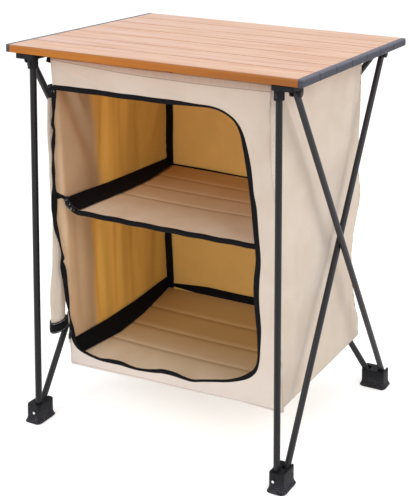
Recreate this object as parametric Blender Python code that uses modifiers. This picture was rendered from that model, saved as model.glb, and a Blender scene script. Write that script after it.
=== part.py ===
"""A folding camping cupboard: a slatted roll-up top on four corner hubs, two upright front
legs, crossed tubes on the left, right and back, four feet, and a hanging fabric cupboard with
a shelf, a floor and a zipped front opening. Metres, +Z up, front towards -Y, floor at zero."""

import math

import bmesh
import bpy
from mathutils import Matrix, Vector

NAME = "camping_cupboard"

# Clearances and overruns
SEAT_GAP = 0.0003
CUT_OVERRUN = 0.003
HOLE_OVERRUN = 0.0005

# Slatted top
TOP_HEIGHT = 0.740
TOP_WIDTH = 0.640
SLAT_COUNT = 7
SLAT_PITCH = 0.058
SLAT_GAP = 0.0008
SLAT_THICKNESS = 0.015
SLAT_ROUNDING = 0.0012
SLAT_GROOVE_WIDTH = 0.022
SLAT_GROOVE_DEPTH = 0.0025
CAP_LENGTH = 0.0095
CAP_ROUNDING = 0.0015

# Tubes and their pins
TUBE_RADIUS = 0.006
TUBE_CLEARANCE = 0.0005
TUBE_END_ROOM = 0.001
PIN_RADIUS = 0.002
PIN_CLEARANCE = 0.0005
PIN_HEAD_RADIUS = 0.0042
PIN_HEAD_THICKNESS = 0.0015
PIN_HEAD_TOP_SHARE = 0.7
PIN_HEAD_EDGE_SHARE = 0.5
RIVET_HOLE_RADIUS = 0.0028
TUBE_SIDES = 14
TUBE_END_STEPS = 3
PIN_SIDES = 10

# Hubs and feet
TOP_OVERHANG = 0.053
SIDE_PLANE_OUT = 0.0155
CHEEK_THICKNESS = 0.003
CHEEK_RADIUS = 0.008
CHEEK_STEPS = 6
SIDE_PIN_SETBACK = 0.018
BACK_PIN_INSET = 0.025
SOCKET_WALL = 0.003
SOCKET_HEIGHT = 0.018
HUB_PLATE_THICKNESS = 0.010
HUB_EDGE = 0.0015
BLOCK_MARGIN = 0.0015
BLOCK_CORNER = 0.005
FOOT_PIN_HEIGHT = 0.028
FOOT_SOCKET_FLOOR = 0.010
FOOT_SOCKET_HEIGHT = 0.024
FOOT_WALL_RISE = 0.0085
FOOT_WALL_EDGE = 0.001
HEAD_ROOM = 0.0006
FOOT_FLARE = 0.004
FOOT_FLARE_HEIGHT = 0.012
FOOT_FLARE_STEPS = 3
FOOT_SOLE_EDGE = 0.002

# Folded frame: how far apart the pins of one tube still stand
FOLDED_SIDE_RUN = 0.070
FOLDED_BACK_RUN = 0.100

# Hanging fabric cupboard
BOX_SIDE_SETBACK = 0.027
BOX_HEIGHT = 0.606
BOX_DROP = 0.009
BOX_FRONT_SETBACK = 0.0196
BOX_BACK_CLEARANCE = 0.0221
BOX_LEAN = 0.041
CLOTH = 0.0024
SIDE_BULGE = 0.010
SIDE_FOLD = 0.0022
SIDE_FOLDS = 3
SIDE_COLUMNS = 18
SIDE_ROWS = 10
BACK_BULGE = 0.004
BACK_FOLD = 0.0012
BACK_FOLDS = 4
BACK_COLUMNS = 22
BACK_ROWS = 7
FOLD_DRIFT = 1.5
STRAP_THICKNESS = 0.0016
STRAP_WIDTH = 0.011
FRONT_STRAP_SETBACK = 0.003
BACK_STRAP_WIDTH = 0.016
BACK_STRAP_LENGTH = 0.026

# Front opening and its binding
OPENING_LEFT_MARGIN = 0.011
OPENING_RIGHT_MARGIN = 0.042
OPENING_TOP_MARGIN = 0.062
OPENING_BOTTOM_MARGIN = 0.024
OPENING_TOP_CORNER = 0.038
OPENING_FOOT_CORNER = 0.030
OPENING_HINGE_CORNER = 0.012
BINDING_WIDTH = 0.009
BINDING_THICKNESS = 0.002

# Shelf, floor and the webbing that carries them
SHELF_HEIGHT = 0.305
BOARD_THICKNESS = 0.006
BOARD_STRIPS = 4
CREASE_WIDTH = 0.005
CREASE_DEPTH = 0.0018
SHELF_BAND = 0.026
FLOOR_BAND = 0.036
FLOOR_FOLD_SETBACK = 0.008
BACK_SHELF_BAND = 0.010
BACK_FLOOR_BAND = 0.016
BAND_THICKNESS = 0.0016
TAPE_WIDTH = 0.010
SHELF_BINDING_HEIGHT = 0.010
SHELF_BINDING_DEPTH = 0.005
SHELF_BINDING_CORNER = 0.0017

# Rolled door, its ring and the zip
ROLL_TOP_RADIUS = 0.0055
ROLL_RADIUS = 0.011
ROLL_TOP_DROP = 0.085
ROLL_BOTTOM_RISE = 0.050
ROLL_LEVELS = 18
ROLL_SIDES = 15
ROLL_TAPER_SHARE = 0.65
ROLL_LOBES = 3
ROLL_LOBE_SHARE = 0.10
ROLL_TWIST = 7
RING_THICKNESS = 0.0015
RING_HEIGHT = 0.028
RING_RISE = 0.062
RING_SIDES = 24
SLIDER_WIDTH = 0.007
SLIDER_HEIGHT = 0.010
SLIDER_DEPTH = 0.004
SLIDER_RISE = 0.012
SLIDER_SHOULDER_SHARE = 0.7
SLIDER_TOP_SHARE = 0.75
PULL_WIDTH = 0.005
PULL_LENGTH = 0.020
PULL_THICKNESS = 0.0016
PULL_CORNER_SHARE = 0.8

# Places worked out from the sizes above
SLAT_BOTTOM = TOP_HEIGHT - SLAT_THICKNESS
HUB_TOP = SLAT_BOTTOM - SEAT_GAP
HUB_BOTTOM = HUB_TOP - HUB_PLATE_THICKNESS
SLOT_ROOM = TUBE_RADIUS + TUBE_END_ROOM
HUB_PIN_HEIGHT = HUB_BOTTOM - SLOT_ROOM
FOOT_TOP = FOOT_PIN_HEIGHT - SLOT_ROOM
FOOT_WALL_TOP = FOOT_PIN_HEIGHT + FOOT_WALL_RISE
SLOT_HALF = TUBE_RADIUS + TUBE_CLEARANCE
CLEVIS_HALF = SLOT_HALF + CHEEK_THICKNESS
SOCKET_RADIUS = TUBE_RADIUS + SEAT_GAP + SOCKET_WALL
LEG_X = TOP_WIDTH / 2 - TOP_OVERHANG
SIDE_X = LEG_X + SIDE_PLANE_OUT
BACK_PIN_X = SIDE_X - BACK_PIN_INSET
TUBE_STEP = SLOT_HALF

# Tube lengths, so that the side and back crosses close together when the frame folds
PIN_RISE = HUB_PIN_HEIGHT - FOOT_PIN_HEIGHT
BACK_RUN = 2 * BACK_PIN_X
BACK_TUBE = math.hypot(BACK_RUN, PIN_RISE)
FOLDED_BACK_RISE = math.sqrt(BACK_TUBE**2 - FOLDED_BACK_RUN**2)
SIDE_TUBE = math.hypot((FOLDED_BACK_RISE + PIN_RISE) / 2, FOLDED_SIDE_RUN)
SIDE_RUN = math.sqrt(SIDE_TUBE**2 - PIN_RISE**2)
LEG_Y = -(SIDE_PIN_SETBACK + SIDE_RUN + TUBE_STEP + CLEVIS_HALF - SOCKET_RADIUS) / 2
FRONT_PIN_Y = LEG_Y + SIDE_PIN_SETBACK
BACK_PIN_Y = FRONT_PIN_Y + SIDE_RUN

# Corners of the fabric cupboard, measured on its inner faces
BOX_X = LEG_X - BOX_SIDE_SETBACK
BOX_TOP = SLAT_BOTTOM - BOX_DROP
BOX_BOTTOM = BOX_TOP - BOX_HEIGHT
BOX_FRONT_TOP = LEG_Y + BOX_FRONT_SETBACK
BOX_FRONT_BOTTOM = BOX_FRONT_TOP + BOX_LEAN
BOX_BACK = BACK_PIN_Y - BOX_BACK_CLEARANCE
SHELF_TOP = BOX_BOTTOM + SHELF_HEIGHT
FLOOR_TOP = BOX_BOTTOM + BOARD_THICKNESS

COLOURS = {
    "wood_print": ((0.78, 0.52, 0.30), 0.45, 0.0),
    "black_plastic": ((0.035, 0.034, 0.037), 0.55, 0.0),
    "cap_plastic": ((0.060, 0.058, 0.070), 0.60, 0.0),
    "black_tube": ((0.030, 0.029, 0.031), 0.38, 0.0),
    "bright_rivet": ((0.55, 0.54, 0.52), 0.30, 1.0),
    "beige_cloth": ((0.66, 0.55, 0.45), 0.90, 0.0),
    "board_cloth": ((0.52, 0.43, 0.33), 0.90, 0.0),
    "black_webbing": ((0.012, 0.012, 0.014), 0.80, 0.0),
    "zip_metal": ((0.030, 0.030, 0.033), 0.35, 0.6),
}


def clear_scene():
    for obj in list(bpy.data.objects):
        bpy.data.objects.remove(obj, do_unlink=True)


def make_collection(name, hidden=False):
    collection = bpy.data.collections.new(name)
    bpy.context.scene.collection.children.link(collection)
    collection.hide_render = hidden
    return collection


def make_material(name, colour):
    """Each piece has a material of its own, with the colour, roughness and metal of its kind."""
    rgb, roughness, metallic = COLOURS[colour]
    material = bpy.data.materials.new(name)
    material.use_nodes = True
    shader = material.node_tree.nodes["Principled BSDF"]
    shader.inputs["Base Color"].default_value = (*rgb, 1.0)
    shader.inputs["Roughness"].default_value = roughness
    shader.inputs["Metallic"].default_value = metallic
    return material


def add_piece(name, data, colour):
    obj = bpy.data.objects.new(name, data)
    data.materials.append(make_material(name, colour))
    PARTS.objects.link(obj)
    return obj


def add_helper(name, mesh):
    """A shape that cuts or joins another one and is no piece of its own."""
    obj = bpy.data.objects.new(name, mesh)
    obj.hide_render = True
    obj.display_type = "WIRE"
    CUTTERS.objects.link(obj)
    return obj


def combine(obj, helper, operation):
    modifier = obj.modifiers.new(helper.name, "BOOLEAN")
    modifier.operation = operation
    modifier.object = helper
    modifier.solver = "EXACT"


def pivot(name, place, piece):
    """An empty on a joint's axis that carries the piece that turns there."""
    empty = bpy.data.objects.new(name, None)
    empty.empty_display_size = CHEEK_RADIUS
    empty.location = place
    PARTS.objects.link(empty)
    piece.parent = empty
    piece.matrix_parent_inverse = Matrix.Translation(-Vector(place))
    return empty


def rounded_rectangle(x0, x1, y0, y1, corners, steps=4):
    """Points counter-clockwise from the lower left; corners holds the four radii in that order."""
    points = []
    centres = (
        (x0 + corners[0], y0 + corners[0], math.pi),
        (x1 - corners[1], y0 + corners[1], 1.5 * math.pi),
        (x1 - corners[2], y1 - corners[2], 0),
        (x0 + corners[3], y1 - corners[3], 0.5 * math.pi),
    )
    for (cx, cy, start), radius in zip(centres, corners):
        for step in range(steps + 1):
            angle = start + 0.5 * math.pi * step / steps
            points.append((cx + radius * math.cos(angle), cy + radius * math.sin(angle)))
    return points


def loft_mesh(name, rings):
    """A closed skin over rings of equally many points, capped at both ends."""
    mesh = bmesh.new()
    loops = [[mesh.verts.new(point) for point in ring] for ring in rings]
    count = len(loops[0])
    for low, high in zip(loops, loops[1:]):
        for i in range(count):
            j = (i + 1) % count
            mesh.faces.new((low[i], low[j], high[j], high[i]))
    mesh.faces.new(reversed(loops[0]))
    mesh.faces.new(loops[-1])
    bmesh.ops.recalc_face_normals(mesh, faces=mesh.faces)
    data = bpy.data.meshes.new(name)
    mesh.to_mesh(data)
    mesh.free()
    data.shade_smooth()
    data.set_sharp_from_angle(angle=math.radians(35))
    return data


def box_mesh(name, low, high):
    mesh = bmesh.new()
    size = Vector(high) - Vector(low)
    centre = (Vector(high) + Vector(low)) / 2
    matrix = Matrix.Translation(centre) @ Matrix.Diagonal((*size, 1))
    bmesh.ops.create_cube(mesh, size=1, matrix=matrix)
    data = bpy.data.meshes.new(name)
    mesh.to_mesh(data)
    mesh.free()
    return data


def axis_matrix(place, direction):
    """Moves the local origin to place and turns local Z along direction."""
    turn = Vector(direction).to_track_quat("Z", "Y").to_matrix().to_4x4()
    return Matrix.Translation(place) @ turn


def turned(name, profile, matrix, colour=None, sides=TUBE_SIDES):
    """A turned solid: profile points (radius, height) run from the top to the bottom."""
    data = bpy.data.meshes.new(name)
    points = [(radius, 0, height) for radius, height in profile]
    data.from_pydata(points, [(i, i + 1) for i in range(len(points) - 1)], [])
    obj = add_piece(name, data, colour) if colour else add_helper(name, data)
    screw = obj.modifiers.new("turn", "SCREW")
    screw.steps = sides
    screw.render_steps = sides
    screw.use_merge_vertices = True
    screw.merge_threshold = 0.00001
    screw.use_smooth_shade = True
    obj.matrix_world = matrix
    return obj


def cylinder(name, radius, place, direction, length, sides=PIN_SIDES):
    """A plain round helper, centred on place."""
    half = length / 2
    profile = ((0, half), (radius, half), (radius, -half), (0, -half))
    return turned(name, profile, axis_matrix(place, direction), sides=sides)


def pin(name, place, direction, near, far):
    """A pin through place, with its head at the far end, to be joined to a tube."""
    profile = (
        (0, far + PIN_HEAD_THICKNESS),
        (PIN_HEAD_RADIUS * PIN_HEAD_TOP_SHARE, far + PIN_HEAD_THICKNESS),
        (PIN_HEAD_RADIUS, far + PIN_HEAD_THICKNESS * PIN_HEAD_EDGE_SHARE),
        (PIN_HEAD_RADIUS, far),
        (PIN_RADIUS, far),
        (PIN_RADIUS, -near),
        (0, -near),
    )
    return turned(name, profile, axis_matrix(place, direction), sides=PIN_SIDES)


def round_ended_tube(name, start, end, pins):
    """A tube with rounded plugs in its ends; each pin is (place, direction) towards its head."""
    start, end = Vector(start), Vector(end)
    length = (end - start).length
    quarter = math.pi / 2
    arc = [quarter * (1 - i / TUBE_END_STEPS) for i in range(TUBE_END_STEPS + 1)]
    profile = [(TUBE_RADIUS * math.cos(a), length + TUBE_RADIUS * math.sin(a)) for a in arc]
    profile += [(TUBE_RADIUS * math.cos(a), -TUBE_RADIUS * math.sin(a)) for a in reversed(arc)]
    profile[0] = (0, profile[0][1])
    profile[-1] = (0, profile[-1][1])
    tube = turned(name, profile, axis_matrix(start, end - start), "black_tube")
    for number, (place, direction) in enumerate(pins):
        cross = pin(
            f"{name}_pin_{number}", place, direction, CLEVIS_HALF - SEAT_GAP, CLEVIS_HALF + SEAT_GAP
        )
        combine(tube, cross, "UNION")
    return tube


def make_slat(number):
    """An extruded slat, with a shallow groove under it for the cord that links the slats."""
    middle = (number - (SLAT_COUNT - 1) / 2) * SLAT_PITCH
    half = (SLAT_PITCH - SLAT_GAP) / 2
    radii = (SLAT_ROUNDING,) * 4
    outline = rounded_rectangle(-half, half, SLAT_BOTTOM, TOP_HEIGHT, radii, steps=2)
    groove_half = SLAT_GROOVE_WIDTH / 2
    groove_top = SLAT_BOTTOM + SLAT_GROOVE_DEPTH
    groove = (
        (-groove_half, SLAT_BOTTOM),
        (-groove_half + SLAT_GROOVE_DEPTH, groove_top),
        (groove_half - SLAT_GROOVE_DEPTH, groove_top),
        (groove_half, SLAT_BOTTOM),
    )
    outline = outline[:3] + list(groove) + outline[3:]
    reach = TOP_WIDTH / 2 - CAP_LENGTH - SEAT_GAP
    rings = [[(x, middle + y, z) for y, z in outline] for x in (-reach, reach)]
    slat = add_piece(f"slat_{number + 1}", loft_mesh(f"slat_{number + 1}", rings), "wood_print")
    for side, word in ((-1, "left"), (1, "right")):
        make_cap(number, middle, half, side, word)
    return slat


def make_cap(number, middle, half, side, word):
    """A moulded cap over one end of a slat, with its outer edges rounded off."""
    outer = TOP_WIDTH / 2
    rings = []
    for x, inset in ((outer - CAP_LENGTH, 0), (outer - CAP_ROUNDING, 0), (outer, CAP_ROUNDING)):
        radii = (max(SLAT_ROUNDING, inset),) * 4
        outline = rounded_rectangle(
            middle - half + inset,
            middle + half - inset,
            SLAT_BOTTOM + inset,
            TOP_HEIGHT - inset,
            radii,
            steps=2,
        )
        rings.append([(side * x, y, z) for y, z in outline])
    name = f"cap_{word}_{number + 1}"
    add_piece(name, loft_mesh(name, rings), "cap_plastic")


def clevis_mesh(name, place, along_x, upward, base):
    """The solid block of a clevis: round about its pin, and straight down to the base."""
    arc_points = []
    for step in range(CHEEK_STEPS + 1):
        angle = math.pi * step / CHEEK_STEPS
        arc_points.append((CHEEK_RADIUS * math.cos(angle), upward * CHEEK_RADIUS * math.sin(angle)))
    drop = base - place[2]
    outline = [(CHEEK_RADIUS, drop)] + arc_points + [(-CHEEK_RADIUS, drop)]
    rings = []
    for along in (-CLEVIS_HALF, CLEVIS_HALF):
        if along_x:
            ring = [(place[0] + along, place[1] + a, place[2] + b) for a, b in outline]
        else:
            ring = [(place[0] + a, place[1] + along, place[2] + b) for a, b in outline]
        rings.append(ring)
    return loft_mesh(name, rings)


def cut_slot(block, name, place, along_x, upward, outer_room):
    """Cuts the slot that a tube's end turns in, the hole of its pin and, in a foot, whose walls
    stand as high as the pin, a recess for the pin's head."""
    across = CHEEK_RADIUS + CUT_OVERRUN
    far = place[2] + upward * across
    near = place[2] - upward * SLOT_ROOM
    side = 1 if place[0] > 0 else -1
    if along_x:
        low = (place[0] - SLOT_HALF, place[1] - across)
        high = (place[0] + SLOT_HALF, place[1] + across)
    else:
        inner = place[0] - side * across
        outer = place[0] + side * outer_room
        low = (min(inner, outer), place[1] - SLOT_HALF)
        high = (max(inner, outer), place[1] + SLOT_HALF)
    slot = box_mesh(f"{name}_slot", (*low, min(near, far)), (*high, max(near, far)))
    combine(block, add_helper(f"{name}_slot", slot), "DIFFERENCE")
    direction = (1, 0, 0) if along_x else (0, 1, 0)
    length = 2 * (CLEVIS_HALF + HOLE_OVERRUN)
    hole = cylinder(f"{name}_hole", PIN_RADIUS + PIN_CLEARANCE, place, direction, length)
    combine(block, hole, "DIFFERENCE")
    if upward > 0:
        out = Vector((side, 0, 0) if along_x else (0, 1, 0))
        recess_middle = Vector(place) + out * (CLEVIS_HALF + CHEEK_RADIUS)
        recess = cylinder(
            f"{name}_recess", PIN_HEAD_RADIUS + HEAD_ROOM, recess_middle, out, 2 * CHEEK_RADIUS, TUBE_SIDES
        )
        combine(block, recess, "DIFFERENCE")


def block_outline(clevises, socket, grow):
    """The rounded rectangle, seen from above, that covers the clevises and the socket."""
    xs, ys = [], []
    for place, along_x in clevises:
        half_x = CLEVIS_HALF if along_x else CHEEK_RADIUS
        half_y = CHEEK_RADIUS if along_x else CLEVIS_HALF
        xs += [place[0] - half_x, place[0] + half_x]
        ys += [place[1] - half_y, place[1] + half_y]
    if socket:
        xs += [socket[0] - SOCKET_RADIUS, socket[0] + SOCKET_RADIUS]
        ys += [socket[1] - SOCKET_RADIUS, socket[1] + SOCKET_RADIUS]
    margin = BLOCK_MARGIN + grow
    radii = (BLOCK_CORNER + grow,) * 4
    return rounded_rectangle(
        min(xs) - margin, max(xs) + margin, min(ys) - margin, max(ys) + margin, radii
    )


def hub_rings(clevises, socket):
    levels = ((HUB_BOTTOM, 0), (HUB_TOP - HUB_EDGE, 0), (HUB_TOP, -HUB_EDGE))
    return [[(x, y, z) for x, y in block_outline(clevises, socket, grow)] for z, grow in levels]


def foot_rings(clevises, socket):
    """A boot: a sole with a rounded edge that flares out, then upright walls up to the tubes."""
    levels = [(0, FOOT_FLARE - FOOT_SOLE_EDGE), (FOOT_SOLE_EDGE, FOOT_FLARE)]
    for step in range(1, FOOT_FLARE_STEPS + 1):
        share = step / FOOT_FLARE_STEPS
        height = FOOT_SOLE_EDGE + (FOOT_FLARE_HEIGHT - FOOT_SOLE_EDGE) * share
        levels.append((height, FOOT_FLARE * (1 - math.sin(share * math.pi / 2))))
    levels += [(FOOT_WALL_TOP - FOOT_WALL_EDGE, 0), (FOOT_WALL_TOP, -FOOT_WALL_EDGE)]
    return [[(x, y, z) for x, y in block_outline(clevises, socket, grow)] for z, grow in levels]


def make_block(name, clevises, socket, upward):
    """A hub (clevises hanging down) or a foot (clevises standing up) as one moulded piece."""
    rings = foot_rings(clevises, socket) if upward > 0 else hub_rings(clevises, socket)
    base = FOOT_TOP if upward > 0 else HUB_BOTTOM
    socket_base = FOOT_SOCKET_FLOOR if upward > 0 else HUB_BOTTOM
    socket_height = FOOT_SOCKET_HEIGHT if upward > 0 else SOCKET_HEIGHT
    block = add_piece(name, loft_mesh(name, rings), "black_plastic")
    for number, (place, along_x) in enumerate(clevises):
        label = f"{name}_clevis_{number}"
        root = base - upward * CUT_OVERRUN
        mesh = clevis_mesh(label, place, along_x, upward, root)
        combine(block, add_helper(label, mesh), "UNION")
    if socket:
        middle = socket_base + upward * (socket_height - CUT_OVERRUN) / 2
        outer = cylinder(
            f"{name}_socket",
            SOCKET_RADIUS,
            (*socket, middle),
            (0, 0, 1),
            socket_height + CUT_OVERRUN,
            TUBE_SIDES,
        )
        combine(block, outer, "UNION")
        bore_middle = socket_base + upward * (socket_height + CUT_OVERRUN) / 2
        bore = cylinder(
            f"{name}_bore",
            TUBE_RADIUS + SEAT_GAP,
            (*socket, bore_middle),
            (0, 0, 1),
            socket_height + CUT_OVERRUN,
            TUBE_SIDES,
        )
        combine(block, bore, "DIFFERENCE")
        length = SOCKET_RADIUS + CUT_OVERRUN
        pin_place = (socket[0], socket[1] - length / 2, socket_base + upward * socket_height / 2)
        hole = cylinder(f"{name}_pinhole", PIN_RADIUS + PIN_CLEARANCE, pin_place, (0, 1, 0), length)
        combine(block, hole, "DIFFERENCE")
    for number, (place, along_x) in enumerate(clevises):
        outer_room = BACK_PIN_INSET - TUBE_STEP - CLEVIS_HALF - HOLE_OVERRUN
        cut_slot(block, f"{name}_{number}", place, along_x, upward, outer_room)
    return block


def side_pin(side, back, hub):
    """Pin of a side tube. The tube from the front hub down to the back foot lies outside."""
    outside = hub != back
    x = side * (SIDE_X + (TUBE_STEP if outside else -TUBE_STEP))
    return (x, BACK_PIN_Y if back else FRONT_PIN_Y, HUB_PIN_HEIGHT if hub else FOOT_PIN_HEIGHT)


def back_pin(side, hub):
    """Pin of a back tube. The tube from the left foot up to the right hub lies behind."""
    behind = hub == (side > 0)
    y = BACK_PIN_Y + (TUBE_STEP if behind else -TUBE_STEP)
    return (side * BACK_PIN_X, y, HUB_PIN_HEIGHT if hub else FOOT_PIN_HEIGHT)


def make_corner(side, word):
    """The hub, foot and upright of one front corner, and the hub and foot behind it."""
    socket = (side * LEG_X, LEG_Y)
    for hub, part, upward in ((True, "hub", -1), (False, "foot", 1)):
        front = [(side_pin(side, False, hub), True)]
        make_block(f"{part}_front_{word}", front, socket, upward)
        back = [(side_pin(side, True, hub), True), (back_pin(side, hub), False)]
        block = make_block(f"{part}_back_{word}", back, None, upward)
        pivot(f"axis_{part}_back_{word}", side_pin(side, True, hub), block)
    bottom = FOOT_SOCKET_FLOOR + SEAT_GAP
    top = HUB_BOTTOM - SEAT_GAP
    profile = ((0, top), (TUBE_RADIUS, top), (TUBE_RADIUS, bottom), (0, bottom))
    leg = turned(f"leg_{word}", profile, Matrix.Translation((*socket, 0)), "black_tube")
    for label, height, reach in (
        ("top", HUB_BOTTOM - SOCKET_HEIGHT / 2, SOCKET_RADIUS),
        ("foot", FOOT_SOCKET_FLOOR + FOOT_SOCKET_HEIGHT / 2, SOCKET_RADIUS + BLOCK_MARGIN),
    ):
        rivet = pin(f"leg_{word}_{label}", (*socket, height), (0, -1, 0), 0, reach + SEAT_GAP)
        combine(leg, rivet, "UNION")


def make_side_tubes(side, word):
    out = (side, 0, 0)
    falling = (side_pin(side, False, True), side_pin(side, True, False))
    rising = (side_pin(side, False, False), side_pin(side, True, True))
    for label, (start, end) in (("down", falling), ("up", rising)):
        tube = round_ended_tube(f"tube_{word}_{label}", start, end, ((start, out), (end, out)))
        pivot(f"axis_tube_{word}_{label}", start, tube)


def make_back_tubes():
    """Two crossed tubes with a rivet through both where they cross."""
    crossing = (0, BACK_PIN_Y, (HUB_PIN_HEIGHT + FOOT_PIN_HEIGHT) / 2)
    out = (0, 1, 0)
    for label, from_hub, radius in (
        ("rising", False, PIN_RADIUS + PIN_CLEARANCE),
        ("falling", True, RIVET_HOLE_RADIUS),
    ):
        start = back_pin(-1, from_hub)
        end = back_pin(1, not from_hub)
        tube = round_ended_tube(f"tube_back_{label}", start, end, ((start, out), (end, out)))
        length = 2 * (TUBE_STEP + TUBE_RADIUS + CUT_OVERRUN)
        hole = cylinder(f"tube_back_{label}_hole", radius, crossing, out, length)
        combine(tube, hole, "DIFFERENCE")
        pivot(f"axis_tube_back_{label}", start, tube)
    reach = TUBE_STEP + TUBE_RADIUS + SEAT_GAP
    head = reach + PIN_HEAD_THICKNESS
    profile = (
        (0, head),
        (PIN_HEAD_RADIUS, head),
        (PIN_HEAD_RADIUS, reach),
        (PIN_RADIUS, reach),
        (PIN_RADIUS, -reach),
        (PIN_HEAD_RADIUS, -reach),
        (PIN_HEAD_RADIUS, -head),
        (0, -head),
    )
    turned("back_rivet", profile, axis_matrix(crossing, out), "bright_rivet")


def front_y(height):
    """Depth of the front panel's inner face at a height: the cupboard leans back lower down."""
    share = (BOX_TOP - height) / BOX_HEIGHT
    return BOX_FRONT_TOP + share * BOX_LEAN


def cloth_panel(name, corners, outward, form):
    """A hanging cloth wall between four corners. It swells by the bulge in the middle and has
    upright folds that fade towards its edges, where it is sewn to its neighbours."""
    bulge, fold, folds, columns, rows = form
    low_start, low_end, high_end, high_start = (Vector(corner) for corner in corners)
    outward = Vector(outward)
    points = []
    for row in range(rows + 1):
        v = row / rows
        for column in range(columns + 1):
            u = column / columns
            place = low_start.lerp(low_end, u).lerp(high_start.lerp(high_end, u), v)
            fade = math.sin(math.pi * u) * math.sin(math.pi * v)
            drift = FOLD_DRIFT * math.sin(2 * math.pi * v)
            ripple = math.sin(2 * math.pi * folds * u + drift)
            points.append(place + outward * fade * (bulge + fold * ripple))
    width = columns + 1
    faces = [
        (r * width + c, r * width + c + 1, (r + 1) * width + c + 1, (r + 1) * width + c)
        for r in range(rows)
        for c in range(columns)
    ]
    data = bpy.data.meshes.new(name)
    data.from_pydata(points, [], faces)
    data.shade_smooth()
    if data.polygons[0].normal.dot(outward) < 0:
        data.flip_normals()
    panel = add_piece(name, data, "beige_cloth")
    thick = panel.modifiers.new("cloth", "SOLIDIFY")
    thick.thickness = CLOTH
    thick.offset = 1
    return panel


def make_side_wall(side, word):
    x = side * BOX_X
    front_low = front_y(BOX_BOTTOM) + SEAT_GAP
    front_high = front_y(BOX_TOP) + SEAT_GAP
    back = BOX_BACK - SEAT_GAP
    corners = (
        (x, front_low, BOX_BOTTOM),
        (x, back, BOX_BOTTOM),
        (x, back, BOX_TOP),
        (x, front_high, BOX_TOP),
    )
    form = (SIDE_BULGE, SIDE_FOLD, SIDE_FOLDS, SIDE_COLUMNS, SIDE_ROWS)
    cloth_panel(f"wall_{word}", corners, (side, 0, 0), form)


def make_back_wall():
    x = BOX_X + CLOTH
    corners = (
        (-x, BOX_BACK, BOX_BOTTOM),
        (x, BOX_BACK, BOX_BOTTOM),
        (x, BOX_BACK, BOX_TOP),
        (-x, BOX_BACK, BOX_TOP),
    )
    form = (BACK_BULGE, BACK_FOLD, BACK_FOLDS, BACK_COLUMNS, BACK_ROWS)
    cloth_panel("wall_back", corners, (0, 1, 0), form)


def lean_matrix(offset):
    """Local XY lies in the front panel, X across and Y up it, from the panel's lower middle."""
    up = Vector((0, -BOX_LEAN, BOX_HEIGHT)).normalized()
    across = Vector((1, 0, 0))
    normal = across.cross(up)
    place = Vector((0, BOX_FRONT_BOTTOM, BOX_BOTTOM)) + normal * offset
    matrix = Matrix((across, up, normal)).transposed().to_4x4()
    return Matrix.Translation(place) @ matrix


def flat_ring(name, outer, inner, thickness, offset, colour):
    """A flat piece with a hole, cut from sheet and laid in the plane of the front panel."""
    curve = bpy.data.curves.new(name, "CURVE")
    curve.dimensions = "2D"
    curve.fill_mode = "BOTH"
    curve.extrude = thickness / 2
    for loop in (outer, inner):
        spline = curve.splines.new("POLY")
        spline.points.add(len(loop) - 1)
        for point, (x, y) in zip(spline.points, loop):
            point.co = (x, y, 0, 1)
        spline.use_cyclic_u = True
    piece = add_piece(name, curve, colour)
    piece.matrix_world = lean_matrix(offset + thickness / 2)
    return piece


def opening_outline(grow):
    slope = math.hypot(BOX_LEAN, BOX_HEIGHT)
    radii = (
        OPENING_HINGE_CORNER + grow,
        OPENING_FOOT_CORNER + grow,
        OPENING_TOP_CORNER + grow,
        OPENING_HINGE_CORNER + grow,
    )
    return rounded_rectangle(
        -BOX_X + OPENING_LEFT_MARGIN - grow,
        BOX_X - OPENING_RIGHT_MARGIN + grow,
        OPENING_BOTTOM_MARGIN - grow,
        slope - OPENING_TOP_MARGIN + grow,
        radii,
        steps=8,
    )


def make_front_panel():
    slope = math.hypot(BOX_LEAN, BOX_HEIGHT)
    half = BOX_X + CLOTH
    outer = rounded_rectangle(-half, half, 0, slope, (CLOTH,) * 4, steps=2)
    flat_ring("panel_front", outer, opening_outline(0), CLOTH, 0, "beige_cloth")
    flat_ring(
        "door_binding",
        opening_outline(BINDING_WIDTH),
        opening_outline(0),
        BINDING_THICKNESS,
        CLOTH + SEAT_GAP,
        "black_webbing",
    )


def board_mesh(name, top, front, back):
    """A board of stiff strips in a cloth sleeve, with a crease between one strip and the next."""
    depth = back - front
    crease_half = CREASE_WIDTH / 2
    upper = []
    for crease in range(1, BOARD_STRIPS):
        middle = front + depth * crease / BOARD_STRIPS
        upper.append((middle - crease_half, top))
        upper.append((middle, top - CREASE_DEPTH))
        upper.append((middle + crease_half, top))
    outline = [(front, top)] + upper + [(back, top)]
    outline += [(back, top - BOARD_THICKNESS), (front, top - BOARD_THICKNESS)]
    reach = BOX_X - BAND_THICKNESS - 2 * SEAT_GAP
    return loft_mesh(name, [[(x, y, z) for y, z in outline] for x in (-reach, reach)])


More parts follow.
